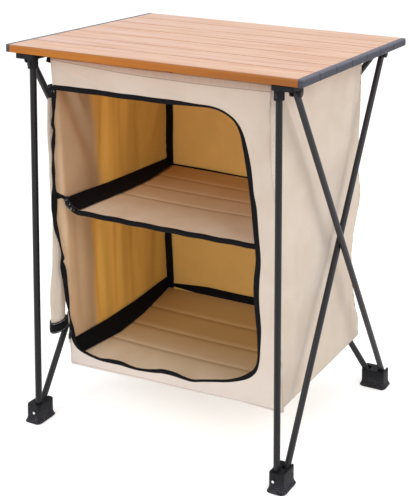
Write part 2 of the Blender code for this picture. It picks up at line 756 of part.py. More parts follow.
def make_boards():
    back = BOX_BACK - BAND_THICKNESS - 2 * SEAT_GAP
    binding_front = front_y(SHELF_TOP - BOARD_THICKNESS) + SEAT_GAP
    shelf_front = binding_front + SHELF_BINDING_DEPTH + SEAT_GAP
    reach = BOX_X - BAND_THICKNESS - 2 * SEAT_GAP
    shelf = add_piece("shelf", board_mesh("shelf", SHELF_TOP, shelf_front, back), "board_cloth")
    middle = SHELF_TOP - BOARD_THICKNESS / 2
    half = SHELF_BINDING_HEIGHT / 2
    radii = (SHELF_BINDING_CORNER,) * 4
    outline = rounded_rectangle(
        binding_front, shelf_front - SEAT_GAP, middle - half, middle + half, radii, steps=2
    )
    rings = [[(x, y, z) for y, z in outline] for x in (-reach, reach)]
    binding = add_piece("shelf_binding", loft_mesh("shelf_binding", rings), "black_webbing")
    hinge = (-BOX_X, binding_front, middle - half)
    axis = pivot("axis_shelf", hinge, shelf)
    binding.parent = axis
    binding.matrix_parent_inverse = Matrix.Translation(-Vector(hinge))
    floor_front = front_y(BOX_BOTTOM) + SEAT_GAP
    floor = add_piece("floor_board", board_mesh("floor_board", FLOOR_TOP, floor_front, back), "board_cloth")
    pivot("axis_floor_board", (-BOX_X, floor_front + FLOOR_FOLD_SETBACK, FLOOR_TOP), floor)


def make_side_bands(side, word):
    """Wide webbing along a side wall, which the shelf or the floor is fixed to."""
    outer = side * (BOX_X - SEAT_GAP)
    inner = side * (BOX_X - SEAT_GAP - BAND_THICKNESS)
    back = BOX_BACK - BAND_THICKNESS - 2 * SEAT_GAP
    for label, low, height in (
        ("shelf", SHELF_TOP - BOARD_THICKNESS, SHELF_BAND),
        ("floor", BOX_BOTTOM, FLOOR_BAND),
    ):
        front = front_y(low) + SEAT_GAP
        name = f"{label}_band_{word}"
        mesh = box_mesh(
            name, (min(outer, inner), front, low), (max(outer, inner), back, low + height)
        )
        add_piece(name, mesh, "black_webbing")


def make_back_binding():
    """Tape up both back corners, joined by the webbing behind the shelf and the floor."""
    outer = BOX_BACK - SEAT_GAP
    inner = outer - BAND_THICKNESS
    reach = BOX_X - SEAT_GAP
    tapes = []
    for side in (-1, 1):
        edges = sorted((side * reach, side * (reach - TAPE_WIDTH)))
        tapes.append(((edges[0], inner, BOX_BOTTOM), (edges[1], outer, BOX_TOP)))
    name = "back_binding"
    binding = add_piece(name, box_mesh(name, *tapes[0]), "black_webbing")
    combine(binding, add_helper(f"{name}_tape", box_mesh(f"{name}_tape", *tapes[1])), "UNION")
    overlap = TAPE_WIDTH / 2
    for label, low, height in (
        ("shelf", SHELF_TOP - BOARD_THICKNESS, BACK_SHELF_BAND),
        ("floor", BOX_BOTTOM + SEAT_GAP, BACK_FLOOR_BAND),
    ):
        start = (-reach + overlap, inner + HOLE_OVERRUN / 2, low)
        end = (reach - overlap, outer - HOLE_OVERRUN / 2, low + height)
        mesh = box_mesh(f"{name}_{label}", start, end)
        combine(binding, add_helper(f"{name}_{label}", mesh), "UNION")


def hub_inner_x():
    """How far in the plate of a front hub reaches, measured from the middle of the cupboard."""
    return LEG_X - SOCKET_RADIUS - BLOCK_MARGIN


def make_straps(side, word):
    """Short straps that hang the cupboard's upper corners from the hubs."""
    top = HUB_BOTTOM + BLOCK_MARGIN
    outer_wall = BOX_X + CLOTH + SEAT_GAP
    middle = BOX_FRONT_TOP + FRONT_STRAP_SETBACK
    half = STRAP_THICKNESS / 2
    reach = sorted((side * outer_wall, side * (hub_inner_x() - SEAT_GAP)))
    front = box_mesh(
        f"strap_front_{word}",
        (reach[0], middle - half, top - STRAP_WIDTH),
        (reach[1], middle + half, top),
    )
    add_piece(f"strap_front_{word}", front, "black_webbing")
    plate_front = min(BACK_PIN_Y - CHEEK_RADIUS, back_pin(side, True)[1] - CLEVIS_HALF) - BLOCK_MARGIN
    end = plate_front - SEAT_GAP
    edges = sorted((side * outer_wall, side * (outer_wall + BACK_STRAP_WIDTH)))
    back = box_mesh(
        f"strap_back_{word}",
        (edges[0], end - BACK_STRAP_LENGTH, HUB_BOTTOM),
        (edges[1], end, HUB_BOTTOM + STRAP_THICKNESS),
    )
    add_piece(f"strap_back_{word}", back, "black_webbing")


def roll_place(height):
    """Middle of the rolled door at a height: beside the left front corner of the cupboard."""
    x = -BOX_X - CLOTH - 2 * SEAT_GAP - RING_THICKNESS - ROLL_RADIUS
    return x, front_y(height)


def make_rolled_door():
    """The door, rolled up and thinner towards the top, with the soft lobes of rolled cloth."""
    low = BOX_BOTTOM + ROLL_BOTTOM_RISE
    high = BOX_TOP - ROLL_TOP_DROP
    rings = []
    for step in range(ROLL_LEVELS + 1):
        share = step / ROLL_LEVELS
        height = low + (high - low) * share
        taper = max(0, (share - 1) / ROLL_TAPER_SHARE + 1)
        radius = ROLL_RADIUS + (ROLL_TOP_RADIUS - ROLL_RADIUS) * taper
        x, y = roll_place(height)
        ring_zone = math.exp(-(((height - BOX_BOTTOM - RING_RISE) / RING_HEIGHT) ** 2))
        lobe_share = ROLL_LOBE_SHARE * (1 - ring_zone)
        ring = []
        for corner in range(ROLL_SIDES):
            angle = 2 * math.pi * corner / ROLL_SIDES
            wave = (1 + math.cos(ROLL_LOBES * angle + ROLL_TWIST * share)) / 2
            spoke = radius * (1 - lobe_share * wave)
            ring.append((x + spoke * math.cos(angle), y + spoke * math.sin(angle), height))
        rings.append(ring)
    add_piece("door_roll", loft_mesh("door_roll", rings), "beige_cloth")
    centre = BOX_BOTTOM + RING_RISE
    x, y = roll_place(centre)
    inner = ROLL_RADIUS + SEAT_GAP
    outer = inner + RING_THICKNESS
    half = RING_HEIGHT / 2
    up = Vector((0, -BOX_LEAN, BOX_HEIGHT)).normalized()
    matrix = Matrix.Translation((x, y, centre)) @ up.to_track_quat("Z", "Y").to_matrix().to_4x4()
    profile = ((inner, half), (outer, half), (outer, -half), (inner, -half), (inner, half))
    turned("roll_ring", profile, matrix, "black_webbing", RING_SIDES)


def make_zip():
    """The slider at the lower end of the zip, and its pull hanging plumb from a bar on it."""
    base = CLOTH + BINDING_THICKNESS + 2 * SEAT_GAP
    x = -BOX_X + OPENING_LEFT_MARGIN - BINDING_WIDTH / 2
    y = OPENING_BOTTOM_MARGIN + OPENING_HINGE_CORNER + SLIDER_RISE
    half = SLIDER_WIDTH / 2
    outline = rounded_rectangle(x - half, x + half, y, y + SLIDER_HEIGHT, (half / 2,) * 4, steps=3)
    rings = []
    middle_y = y + SLIDER_HEIGHT / 2
    shoulder = SLIDER_DEPTH * SLIDER_SHOULDER_SHARE
    for depth, scale in ((0, 1), (shoulder, 1), (SLIDER_DEPTH, SLIDER_TOP_SHARE)):
        rings.append(
            [(x + (px - x) * scale, middle_y + (py - middle_y) * scale, depth) for px, py in outline]
        )
    slider = add_piece("zip_slider", loft_mesh("zip_slider", rings), "zip_metal")
    slider.matrix_world = lean_matrix(base)
    pull_half = PULL_WIDTH / 2
    outline = rounded_rectangle(
        -pull_half, pull_half, -PULL_LENGTH, 0, (pull_half * PULL_CORNER_SHARE,) * 4, steps=3
    )
    rings = [[(px, py, depth) for px, py in outline] for depth in (0, PULL_THICKNESS)]
    pull = add_piece("zip_pull", loft_mesh("zip_pull", rings), "zip_metal")
    bar = lean_matrix(base + SLIDER_DEPTH + SEAT_GAP) @ Vector((x, middle_y, 0))
    pull.matrix_world = Matrix.Translation(bar) @ Matrix.Rotation(math.pi / 2, 4, "X")


def main():
    for number in range(SLAT_COUNT):
        make_slat(number)
    for side, word in ((-1, "left"), (1, "right")):
        make_corner(side, word)
        make_side_tubes(side, word)
        make_side_wall(side, word)
        make_side_bands(side, word)
        make_straps(side, word)
    make_back_tubes()
    make_back_wall()
    make_back_binding()
    make_front_panel()
    make_boards()
    make_rolled_door()
    make_zip()


clear_scene()
PARTS = make_collection(NAME)
CUTTERS = make_collection("cutters", hidden=True)
main()
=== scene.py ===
import math

import bpy
import numpy as np
from mathutils import Matrix, Quaternion, Vector


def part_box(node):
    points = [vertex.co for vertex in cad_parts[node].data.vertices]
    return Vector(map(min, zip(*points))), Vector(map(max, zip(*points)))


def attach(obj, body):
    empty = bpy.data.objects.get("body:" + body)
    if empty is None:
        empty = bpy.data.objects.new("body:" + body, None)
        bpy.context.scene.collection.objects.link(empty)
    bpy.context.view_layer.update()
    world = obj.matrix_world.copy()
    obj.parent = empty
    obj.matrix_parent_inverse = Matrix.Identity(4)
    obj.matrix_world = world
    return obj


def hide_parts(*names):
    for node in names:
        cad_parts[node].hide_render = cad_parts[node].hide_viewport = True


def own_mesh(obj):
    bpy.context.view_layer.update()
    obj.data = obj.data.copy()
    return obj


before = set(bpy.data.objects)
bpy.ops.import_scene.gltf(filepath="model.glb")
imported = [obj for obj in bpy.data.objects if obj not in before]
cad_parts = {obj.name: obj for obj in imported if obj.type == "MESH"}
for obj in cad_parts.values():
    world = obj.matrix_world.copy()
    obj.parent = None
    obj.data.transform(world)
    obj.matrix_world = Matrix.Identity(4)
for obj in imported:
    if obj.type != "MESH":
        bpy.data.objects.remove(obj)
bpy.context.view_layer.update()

# the studio
# A white floor and a white sky, as in a catalogue picture. The camera stands to the right of the
# cupboard and a little above its top, and its lens is shifted so that the uprights stay upright.
WIDTH, HEIGHT = 409, 496
focal, centre_x, centre_y = 963.075, 480.49, -56.26
turn, tilt, roll = math.radians(20.2309), math.radians(5.3121), math.radians(1.4950)
forward = Vector((-math.sin(turn) * math.cos(tilt), math.cos(turn) * math.cos(tilt), -math.sin(tilt)))
level = forward.cross(Vector((0, 0, 1))).normalized()
upward = level.cross(forward)
right = level * math.cos(roll) + upward * math.sin(roll)
up = upward * math.cos(roll) - level * math.sin(roll)
camera_data = bpy.data.cameras.new("camera")
camera_data.sensor_fit = "HORIZONTAL"
camera_data.sensor_width = 36
camera_data.lens = focal * camera_data.sensor_width / WIDTH
camera_data.shift_x = (WIDTH / 2 - centre_x) / WIDTH
camera_data.shift_y = (centre_y - HEIGHT / 2) / WIDTH
camera = bpy.data.objects.new("camera", camera_data)
# The lens is shifted far to one side and down. A camera that is moved round the cupboard and aimed
# at its middle would miss it, so a constant turn and lift, kept in the camera's delta values,
# bring the cupboard back into the frame from every side.
aside = Quaternion((0, 0, 1), -math.atan((centre_x - WIDTH / 2) / focal))
lift = Vector((0, 0, 1.03))
camera.rotation_mode = "QUATERNION"
camera.delta_rotation_quaternion = aside
camera.delta_location = lift
camera.location = Vector((1.1293, -1.5680, 1.1181)) - lift
camera.rotation_quaternion = aside.inverted() @ Matrix((right, up, -forward)).transposed().to_quaternion()
bpy.context.scene.collection.objects.link(camera)
bpy.context.scene.camera = camera
bpy.context.scene.view_settings.view_transform = "Standard"


class Value:
    """A number that varies over a surface, as a socket. Sums on it add Math nodes."""

    def __init__(self, finish, socket):
        self.finish, self.socket = finish, socket

    def sum(self, operation, *values):
        return self.finish.node("Math", {"operation": operation}, values)

    def apply(self, operation, *others):
        """One Math node on this value and the others after it."""
        return self.sum(operation, self, *others)

    def __add__(self, other):
        return self.sum("ADD", self, other)

    def __radd__(self, other):
        return self.sum("ADD", other, self)

    def __sub__(self, other):
        return self.sum("SUBTRACT", self, other)

    def __rsub__(self, other):
        return self.sum("SUBTRACT", other, self)

    def __mul__(self, other):
        return self.sum("MULTIPLY", self, other)

    def __rmul__(self, other):
        return self.sum("MULTIPLY", other, self)

    def __truediv__(self, other):
        return self.sum("DIVIDE", self, other)

    def __abs__(self):
        return self.sum("ABSOLUTE", self)

    def __lt__(self, other):
        return self.sum("LESS_THAN", self, other)

    def __gt__(self, other):
        return self.sum("GREATER_THAN", self, other)


class Finish:
    """One surface finish. node() adds any shader node by its type; the rest are short forms of it."""

    def __init__(self, name, **constants):
        self.material = bpy.data.materials.new(name)
        self.material.use_nodes = True
        self.tree = self.material.node_tree
        self.shader = self.tree.nodes["Principled BSDF"]
        for socket, value in constants.items():
            self.shader.inputs[socket.replace("_", " ")].default_value = value

    def node(self, kind, settings=None, inputs=(), output=0):
        """Settings go on the node first, then the values and links of its inputs, by place or name."""
        node = self.tree.nodes.new("ShaderNode" + kind)
        for key, value in (settings or {}).items():
            setattr(node, key, value)
        pairs = inputs.items() if isinstance(inputs, dict) else enumerate(inputs)
        for key, value in pairs:
            self.join(node.inputs[key], value)
        return Value(self, node.outputs[output])

    def join(self, socket, value):
        if isinstance(value, Value):
            self.tree.links.new(value.socket, socket)
        else:
            socket.default_value = value

    def place(self, scale=(1, 1, 1), kind="Object"):
        """Where a point lies, in metres, stretched by scale."""
        where = self.node("TexCoord", output=kind)
        return self.node("Mapping", inputs={"Vector": where, "Scale": scale})

    def along(self, axis, kind="Object"):
        """One coordinate of a point, in metres."""
        return self.node("SeparateXYZ", inputs=[self.node("TexCoord", output=kind)], output=axis)

    def noise(self, size, stretch=(1, 1, 1), detail=3.0, kind="Object"):
        """Soft noise from 0 to 1 with features of about this size in metres."""
        values = {"Vector": self.place(stretch, kind), "Scale": 1 / size, "Detail": detail}
        return self.node("TexNoise", inputs=values)

    def step(self, value, low, high, smooth=True):
        """0 where value is below low, 1 above high, and a soft change between."""
        kind = "SMOOTHSTEP" if smooth else "LINEAR"
        values = {"Value": value, "From Min": low, "From Max": high}
        return self.node("MapRange", {"interpolation_type": kind}, values)

    def mix(self, share, first, second):
        """A colour between two colours."""
        values = {"Factor": share, 6: first, 7: second}
        return self.node("Mix", {"data_type": "RGBA"}, values, output=2)

    def set(self, socket, value):
        self.join(self.shader.inputs[socket], value)

    def bump(self, height, distance, strength=1.0):
        values = {"Height": height, "Distance": distance, "Strength": strength}
        self.set("Normal", self.node("Bump", inputs=values))


def shade(red, green, blue):
    """A colour as seen, each part from 0 to 255, as the linear colour that a shader takes."""
    parts = np.array((red, green, blue)) / 255
    linear = np.where(parts <= 0.04045, parts / 12.92, ((parts + 0.055) / 1.055) ** 2.4)
    return (*map(float, linear), 1.0)


floor_data = bpy.data.meshes.new("floor")
floor_data.from_pydata([(-9, -9, 0), (9, -9, 0), (9, 9, 0), (-9, 9, 0)], [], [(0, 1, 2, 3)])
floor = bpy.data.objects.new("floor", floor_data)
bpy.context.scene.collection.objects.link(floor)
paper = Finish("white_paper", Roughness=0.9, Specular_IOR_Level=0.1)
paper.set("Base Color", shade(238, 238, 238))
ray = paper.node("LightPath")
seen = ray.apply("MAXIMUM", paper.node("LightPath", output="Is Glossy Ray"))
glow = paper.node("Emission", inputs={"Color": (1, 1, 1, 1), "Strength": 0.50})
dark = paper.node("Emission", inputs={"Color": (0, 0, 0, 1), "Strength": 0.0})
lifted = paper.node("MixShader", inputs={0: seen, 1: dark, 2: glow})
both = paper.node("AddShader", inputs=[lifted, Value(paper, paper.shader.outputs[0])])
output = paper.tree.nodes["Material Output"]
paper.join(output.inputs["Surface"], both)
floor_data.materials.append(paper.material)

world = bpy.data.worlds.new("white_sky")
world.use_nodes = True
bpy.context.scene.world = world
sky_nodes, sky_links = world.node_tree.nodes, world.node_tree.links
sky = sky_nodes["Background"]
path = sky_nodes.new("ShaderNodeLightPath")
direct = sky_nodes.new("ShaderNodeMath")
direct.operation = "MAXIMUM"
sky_links.new(path.outputs["Is Camera Ray"], direct.inputs[0])
sky_links.new(path.outputs["Is Glossy Ray"], direct.inputs[1])
level_of_sky = sky_nodes.new("ShaderNodeMapRange")
level_of_sky.inputs["To Min"].default_value = 0.62
level_of_sky.inputs["To Max"].default_value = 1.0
sky_links.new(direct.outputs[0], level_of_sky.inputs["Value"])
sky.inputs["Color"].default_value = (1, 1, 1, 1)
sky_links.new(level_of_sky.outputs[0], sky.inputs["Strength"])


def lamp(name, spot, target, size, watts):
    """A square soft box that faces target."""
    data = bpy.data.lights.new(name, "AREA")
    data.size, data.energy = size, watts
    obj = bpy.data.objects.new(name, data)
    obj.location = spot
    obj.rotation_euler = (Vector(target) - Vector(spot)).to_track_quat("-Z", "Y").to_euler()
    bpy.context.scene.collection.objects.link(obj)


lamp("key", (-0.9, -2.6, 2.1), (0, 0, 0.4), 1.6, 27)
lamp("side", (2.6, -0.9, 1.8), (0, 0, 0.4), 1.6, 29)
lamp("over", (0.2, 0.4, 2.9), (0, 0, 0.7), 1.8, 18)


def finish_nodes(finish, *names):
    """A carried-over solid keeps its shape and takes this finish."""
    for name in names:
        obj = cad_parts[name]
        for slot in obj.material_slots:
            slot.material = finish.material


# the slatted top
# Seven hollow slats with a wood print under clear lacquer, linked below by a cord so that the top
# rolls up. Each end is closed by a moulded cap of grey speckled plastic.
PITCH, SLATS = 0.058, 7
FACE_RIM, FRONT_RIM = (0.7380, 0.7394), (-0.1985, -0.2010)
wood = Finish("wood_print", Specular_IOR_Level=0.08, Coat_Roughness=0.22)
across = wood.along("Y") / PITCH + SLATS / 2
number = across.apply("FLOOR")
chance = wood.node("TexWhiteNoise", {"noise_dimensions": "1D"}, {"W": number + 3.0})
where = wood.place((0.55, 9.0, 9.0))
shift = wood.node("CombineXYZ", inputs=[chance * 9.0, chance * 4.0, 0.0])
where = wood.node("VectorMath", {"operation": "ADD"}, [where, shift])
grain = wood.node("TexNoise", inputs={"Vector": where, "Scale": 9.0, "Detail": 5.0, "Roughness": 0.6})
fine = wood.noise(0.0016, (0.02, 1, 1), 2.0)
pores = wood.noise(0.0009, (0.05, 1, 1), 2.0)
tone = wood.step(grain, 0.34, 0.68)
height = wood.along("Z")
flat_face = wood.step(height, *FACE_RIM)
plank = wood.mix(tone, shade(248, 158, 40), shade(234, 138, 30))
# Painted shade: the front edge darkens towards its right end, where less light falls.
plank = wood.mix(wood.step(wood.along("X"), -0.10, 0.32) * 0.85, plank, shade(158, 98, 40))
plank = wood.mix(wood.step(fine, 0.42, 0.75) * 0.30, plank, shade(186, 104, 30))
# Painted reflection: the top face is paler and pinker than the front edge, as if its lacquer mirrored the
# white surroundings; the grain and streaks lie within it.
sheen_lit_top = wood.mix(tone, shade(222, 184, 158), shade(204, 150, 116))
streak = wood.step(wood.noise(0.006, (0.02, 1, 1), 3.0), 0.40, 0.72)
sheen_lit_top = wood.mix(streak * 0.50, sheen_lit_top, shade(226, 190, 178))
sheen_lit_top = wood.mix(wood.step(fine, 0.48, 0.72) * 0.45, sheen_lit_top, shade(196, 132, 82))
to_left = wood.step(wood.along("X"), 0.20, -0.20)
blush = wood.step(wood.noise(0.05, (0.25, 2.2, 1), 2.0), 0.48, 0.66) * to_left
sheen_lit_top = wood.mix(blush * 0.40, sheen_lit_top, shade(218, 184, 182))
# Painted highlight: the top few millimetres of the front edge, where it rounds over, are paler.
plank = wood.mix(wood.step(height, 0.7335, 0.7375) * 0.45, plank, shade(232, 160, 70))
plank = wood.mix(flat_face, plank, sheen_lit_top)
plank = wood.mix(wood.step(pores, 0.62, 0.78) * 0.22, plank, shade(170, 104, 52))
plank = wood.mix(chance * flat_face * 0.18, plank, shade(226, 170, 124))
within = across - number
seam = wood.step(abs(within - 0.5), 0.466, 0.490)
plank = wood.mix(seam * 0.70, plank, shade(140, 86, 52))
wood.set("Base Color", plank)
wood.set("Coat Weight", flat_face * 0.30)
# Painted light: the front edge glows faintly in its own colour, as if more light fell on it.
glowing_front_edge = wood.step(wood.along("Y"), *FRONT_RIM) * (1.0 - flat_face)
wood.set("Emission Color", wood.mix(glowing_front_edge, (0, 0, 0, 1), plank))
wood.set("Emission Strength", 0.13)
wood.set("Roughness", 0.32 + 0.12 * fine + 0.25 * seam)
wood.bump(grain * 0.5 + fine * 0.35 - pores * 0.2, 0.0004, 0.35)
finish_nodes(wood, *[f"slat_{n}" for n in range(1, SLATS + 1)])

cap_plastic = Finish("cap_plastic", Roughness=0.55, Specular_IOR_Level=0.35)
speck = cap_plastic.noise(0.0016, detail=2.0)
cloud = cap_plastic.noise(0.012, detail=2.0)
# Painted highlight: the top rim of each cap is paler, where light catches its bevel.
edge = cap_plastic.step(cap_plastic.along("Z"), 0.7355, 0.7385)
grey = cap_plastic.mix(cloud, shade(50, 51, 62), shade(66, 67, 78))
grey = cap_plastic.mix(cap_plastic.step(speck, 0.60, 0.70) * 0.55, grey, shade(128, 129, 144))
grey = cap_plastic.mix(cap_plastic.step(speck, 0.44, 0.34) * 0.5, grey, shade(48, 47, 56))
grey = cap_plastic.mix(edge * 0.40, grey, shade(132, 133, 148))
cap_plastic.set("Base Color", grey)
cap_plastic.bump(speck, 0.0003, 0.5)
caps = [f"cap_{side}_{n}" for side in ("left", "right") for n in range(1, SLATS + 1)]
finish_nodes(cap_plastic, *caps)

# hubs and feet
# Glass-filled nylon, moulded in one piece each, charcoal, with a satin grain from the mould and
# light specks low down on the feet. The feet are boots with a flared sole.
nylon = Finish("black_nylon", Specular_IOR_Level=0.12)
skin_grain = nylon.noise(0.0011, detail=2.0)
dust = nylon.noise(0.02, detail=3.0)
low_down = 1.0 - nylon.step(nylon.along("Z"), 0.004, 0.035)
charcoal = nylon.mix(dust, shade(22, 22, 25), shade(33, 33, 37))
charcoal = nylon.mix(low_down * nylon.step(skin_grain, 0.5, 0.7) * 0.80, charcoal, shade(112, 110, 122))
nylon.set("Base Color", charcoal)
nylon.set("Roughness", 0.42 + 0.2 * dust)
nylon.bump(skin_grain, 0.0003, 0.45)
corners = [f"{end}_{side}" for end in ("front", "back") for side in ("left", "right")]
finish_nodes(nylon, *[f"{kind}_{corner}" for kind in ("hub", "foot") for corner in corners])

# tubes
# Steel tube, 12 mm across, with a satin black powder coat. The rivets that fix the two uprights in
# the front feet are left bright, and so is the one where the back tubes cross.
def powder(name, specular, dark, light):
    """Satin powder coat: long faint patches of two blacks, and the fine peel of the baked coat."""
    finish = Finish(name, Specular_IOR_Level=specular)
    patch = finish.noise(0.05, (1, 1, 0.3), 3.0)
    finish.bump(finish.noise(0.0022, detail=2.0), 0.0003, 0.25)
    return finish, patch, finish.mix(patch, dark, light)


coat, patch, black = powder("powder_coat", 0.30, shade(28, 27, 30), shade(42, 40, 44))
coat.set("Base Color", black)
coat.set("Roughness", 0.28 + 0.14 * patch)
tubes = ("left_up", "left_down", "right_up", "right_down", "back_rising", "back_falling")
finish_nodes(coat, *[f"tube_{name}" for name in tubes])

LEG_X, LEG_FRONT, FOOT_RIVET, RIVET_RIM = 0.267, -0.1985, 0.022, (0.0022, 0.0028)
upright, patch, black = powder("upright_coat", 0.24, shade(20, 20, 23), shade(29, 28, 32))
aside = abs(upright.along("X")) - LEG_X
above = upright.along("Z") - FOOT_RIVET
off = (aside * aside + above * above).apply("SQRT")
rivet = (1.0 - upright.step(off, *RIVET_RIM)) * (upright.along("Y") < LEG_FRONT)
upright.set("Base Color", upright.mix(rivet, black, shade(226, 225, 222)))
upright.set("Metallic", rivet)
upright.set("Roughness", 0.30 + 0.06 * rivet)
finish_nodes(upright, "leg_left", "leg_right")
steel = Finish("bright_steel", Roughness=0.3, Metallic=1.0)
steel.set("Base Color", steel.mix(steel.noise(0.003), shade(182, 180, 178), shade(214, 212, 210)))
finish_nodes(steel, "back_rivet")

# side and back walls
# Plain-woven polyester, coated inside, sewn up from flat panels and hung from the hubs. The cloth
# is beige outside; inside, light comes through it and it looks brown near the door, then amber.
BOX_X, BOX_TOP, BOX_BOTTOM, BOX_BACK = 0.240, 0.716, 0.110, 0.1607
FRONT_TOP, FRONT_LEAN, BOX_RISE = -0.1699, 0.041, 0.606
CLOTH = 0.0012


def front_depth(height):
    """Depth of the front face at a height: it leans back evenly from the top to the bottom."""
    return FRONT_TOP + (BOX_TOP - height) / BOX_RISE * FRONT_LEAN


def wander(a, b, seed):
    """A smooth random field of about -1 to 1: six sine waves in seeded directions, added up."""
    rng = np.random.default_rng(seed)
    total, waves = 0, 6
    for _ in range(waves):
        angle, pace, start = rng.uniform(0, 2 * np.pi), rng.uniform(0.7, 2.4), rng.uniform(0, 2 * np.pi)
        total = total + np.sin(pace * (a * np.cos(angle) + b * np.sin(angle)) + start)
    return total / math.sqrt(waves)


def crease(a, b, start, end, width, height):
    """A soft ridge from start to end: a bell across the line, fading out at both of its ends."""
    line = np.array(end) - np.array(start)
    length = np.hypot(*line)
    along = ((a - start[0]) * line[0] + (b - start[1]) * line[1]) / length**2
    off = ((a - start[0]) * line[1] - (b - start[1]) * line[0]) / length
    ends = np.clip(along * 4 + 0.4, 0, 1) * np.clip((1 - along) * 4 + 0.4, 0, 1)
    ends = ends * ends * (3 - 2 * ends)
    return height * np.exp(-((off / width) ** 2)) * ends


def skin(name, points, cloth, ring_rows=False, ring_columns=False):
    """A surface on a grid: points[i, j] lies i along and j across, and cloth holds its place on
    the flat cloth in metres. A direction that closes on itself has one more row or column of
    cloth than of points."""
    rows, columns = points.shape[:2]
    i, j = np.meshgrid(
        np.arange(rows if ring_rows else rows - 1),
        np.arange(columns if ring_columns else columns - 1),
        indexing="ij",
    )
    i, j = i.ravel(), j.ravel()
    corners = [(i, j), (i, j + 1), (i + 1, j + 1), (i + 1, j)]
    faces = np.stack([(a % rows) * columns + b % columns for a, b in corners], 1)
    mesh = bpy.data.meshes.new(name)
    mesh.from_pydata(points.reshape(-1, 3).tolist(), [], faces.tolist())
    layer = mesh.uv_layers.new(name="cloth")
    layer.data.foreach_set("uv", np.stack([cloth[a, b] for a, b in corners], 1).ravel())
    mesh.shade_smooth()
    obj = bpy.data.objects.new(name, mesh)
    bpy.context.scene.collection.objects.link(obj)
    return obj


def outward(obj, direction):
    """Turns the faces of an open surface so that most of them look along direction."""
    normals = np.zeros(len(obj.data.polygons) * 3)
    obj.data.polygons.foreach_get("normal", normals)
    if normals.reshape(-1, 3).sum(0) @ np.array(direction) < 0:
        obj.data.flip_normals()
    return obj


def two_sided(obj, outer, inner):
    """Gives an open surface the cloth's thickness and a finish for each of its two faces."""
    obj.data.materials.append(outer.material)
    obj.data.materials.append(inner.material)
    modifier = obj.modifiers.new("thickness", "SOLIDIFY")
    modifier.thickness = CLOTH
    modifier.offset = 1
    modifier.material_offset = 1
    modifier.use_quality_normals = True


def folding(obj, body, solid, deep=False):
    """Puts a soft piece in the place of a solid, carried by its body, with a mesh of its own.
    deep is not used: the piece is the same either way."""
    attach(obj, body)
    if deep:
        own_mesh(obj)
    else:
        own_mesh(obj)
    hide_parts(solid)


def read(table, at):
    """The value between the rows of a table of pairs: what it is read at, and the value there."""
    return np.interp(at, *zip(*table))


def dimmed(colour, share):
    """The colour with this share of its light, or with a share each for red, green and blue."""
    return (*map(float, np.array(colour[:3]) * share), 1.0)


def weave(finish, base, deep):
    """Colour and relief of a plain weave on the cloth's own map: two crossed sets of threads with
    thicker yarns here and there, faint clouds, and a paler dusty nap."""
    u, v = finish.along("X", "UV"), finish.along("Y", "UV")
    pace = 2 * math.pi / 0.0009
    threads = (u * pace).apply("SINE") * (v * pace).apply("SINE")
    slub_u = finish.noise(0.0022, (1, 0.03, 1), 2.0, kind="UV")
    slub_v = finish.noise(0.0022, (0.03, 1, 1), 2.0, kind="UV")
    cloud = finish.noise(0.07, detail=4.0)
    colour = finish.mix(finish.step(cloud, 0.3, 0.7), base, deep)
    slubs = finish.step(slub_u, 0.55, 0.75) + finish.step(slub_v, 0.55, 0.75)
    colour = finish.mix(slubs * 0.10, colour, deep)
    colour = finish.mix((threads * 0.5 + 0.5) * 0.06, colour, (1, 1, 1, 1))
    finish.bump(threads * 0.35 + slub_u * 0.5 + slub_v * 0.5, 0.0004, 0.35)
    return colour


MATT = {"Roughness": 0.88, "Specular_IOR_Level": 0.25, "Sheen_Weight": 0.15, "Sheen_Roughness": 0.5}
outside = Finish("beige_cloth", **MATT)
outside.set("Base Color", weave(outside, shade(228, 212, 196), shade(220, 202, 184)))


def lining(name, near, far, border, slant=0.0, glow=0.3, below_shelf_light=1.0):
    """The coated inner face, with the light that comes through the cloth painted on it: near colour
    by the door, far colour deeper in, with painted upright shading where the cloth gathers and
    painted shade towards the back. The border between them slants above the shelf and lies nearer
    to the door below it. Below the shelf the near colour is painted lighter or darker, and the
    face glows faintly, a painted glow."""
    finish = Finish(name, Roughness=0.62, Specular_IOR_Level=0.3)
    depth, height = finish.along("Y"), finish.along("Z")
    stripes = finish.noise(0.040, (0, 1, 0.06), 2.0)
    over = (height - 0.445).apply("MAXIMUM", 0.0)
    below = finish.step(height, 0.425, 0.405)
    waver = 0.03 * (finish.noise(0.2, (0, 0, 1), 1.0) - 0.5)
    reach = depth + over * slant + below * (slant * 0.14) + waver
    share = finish.step(reach, border - 0.010, border + 0.014)
    shadow = finish.step(reach, border - 0.060, border) * (1.0 - share)
    near_tone = weave(finish, near, dimmed(near, 0.9))
    # Painted light and shade: below the shelf the near colour is made lighter or darker.
    shelf_light_scale = finish.mix(below, (1, 1, 1, 1), (below_shelf_light, below_shelf_light, below_shelf_light, 1))
    near_tone = finish.node("VectorMath", {"operation": "MULTIPLY"}, [near_tone, shelf_light_scale])
    near_tone = finish.mix(shadow * 0.60, near_tone, dimmed(near, (0.62, 0.55, 0.45)))
    far_tone = finish.mix(finish.step(stripes, 0.30, 0.72), far, dimmed(far, 0.70))
    # Painted shade: the far colour darkens towards the back.
    far_tone = finish.mix(finish.step(depth, 0.03, 0.11) * 0.65, far_tone, dimmed(far, 0.50))
    finish.set("Base Color", finish.mix(share, near_tone, far_tone))
    # Painted glow: the face gives off light of its own, stronger by the door as glow sets.
    finish.set("Emission Color", finish.mix(share, dimmed(near, glow), far_tone))
    finish.set("Emission Strength", 0.20)
    return finish


# Painted light: brown near the door and amber deeper in are how the cloth looks with light coming through
# it.
brown, amber = shade(206, 172, 134), shade(230, 174, 84)
left_lining = lining("left_lining", brown, amber, -0.036, 0.19, below_shelf_light=1.15)
right_lining = lining("right_lining", shade(206, 186, 164), shade(206, 170, 116), -0.052)
lit, dull = shade(226, 176, 92), shade(210, 162, 90)
back_lining = lining("back_lining", lit, dull, 0.30, glow=0.8, below_shelf_light=0.84)

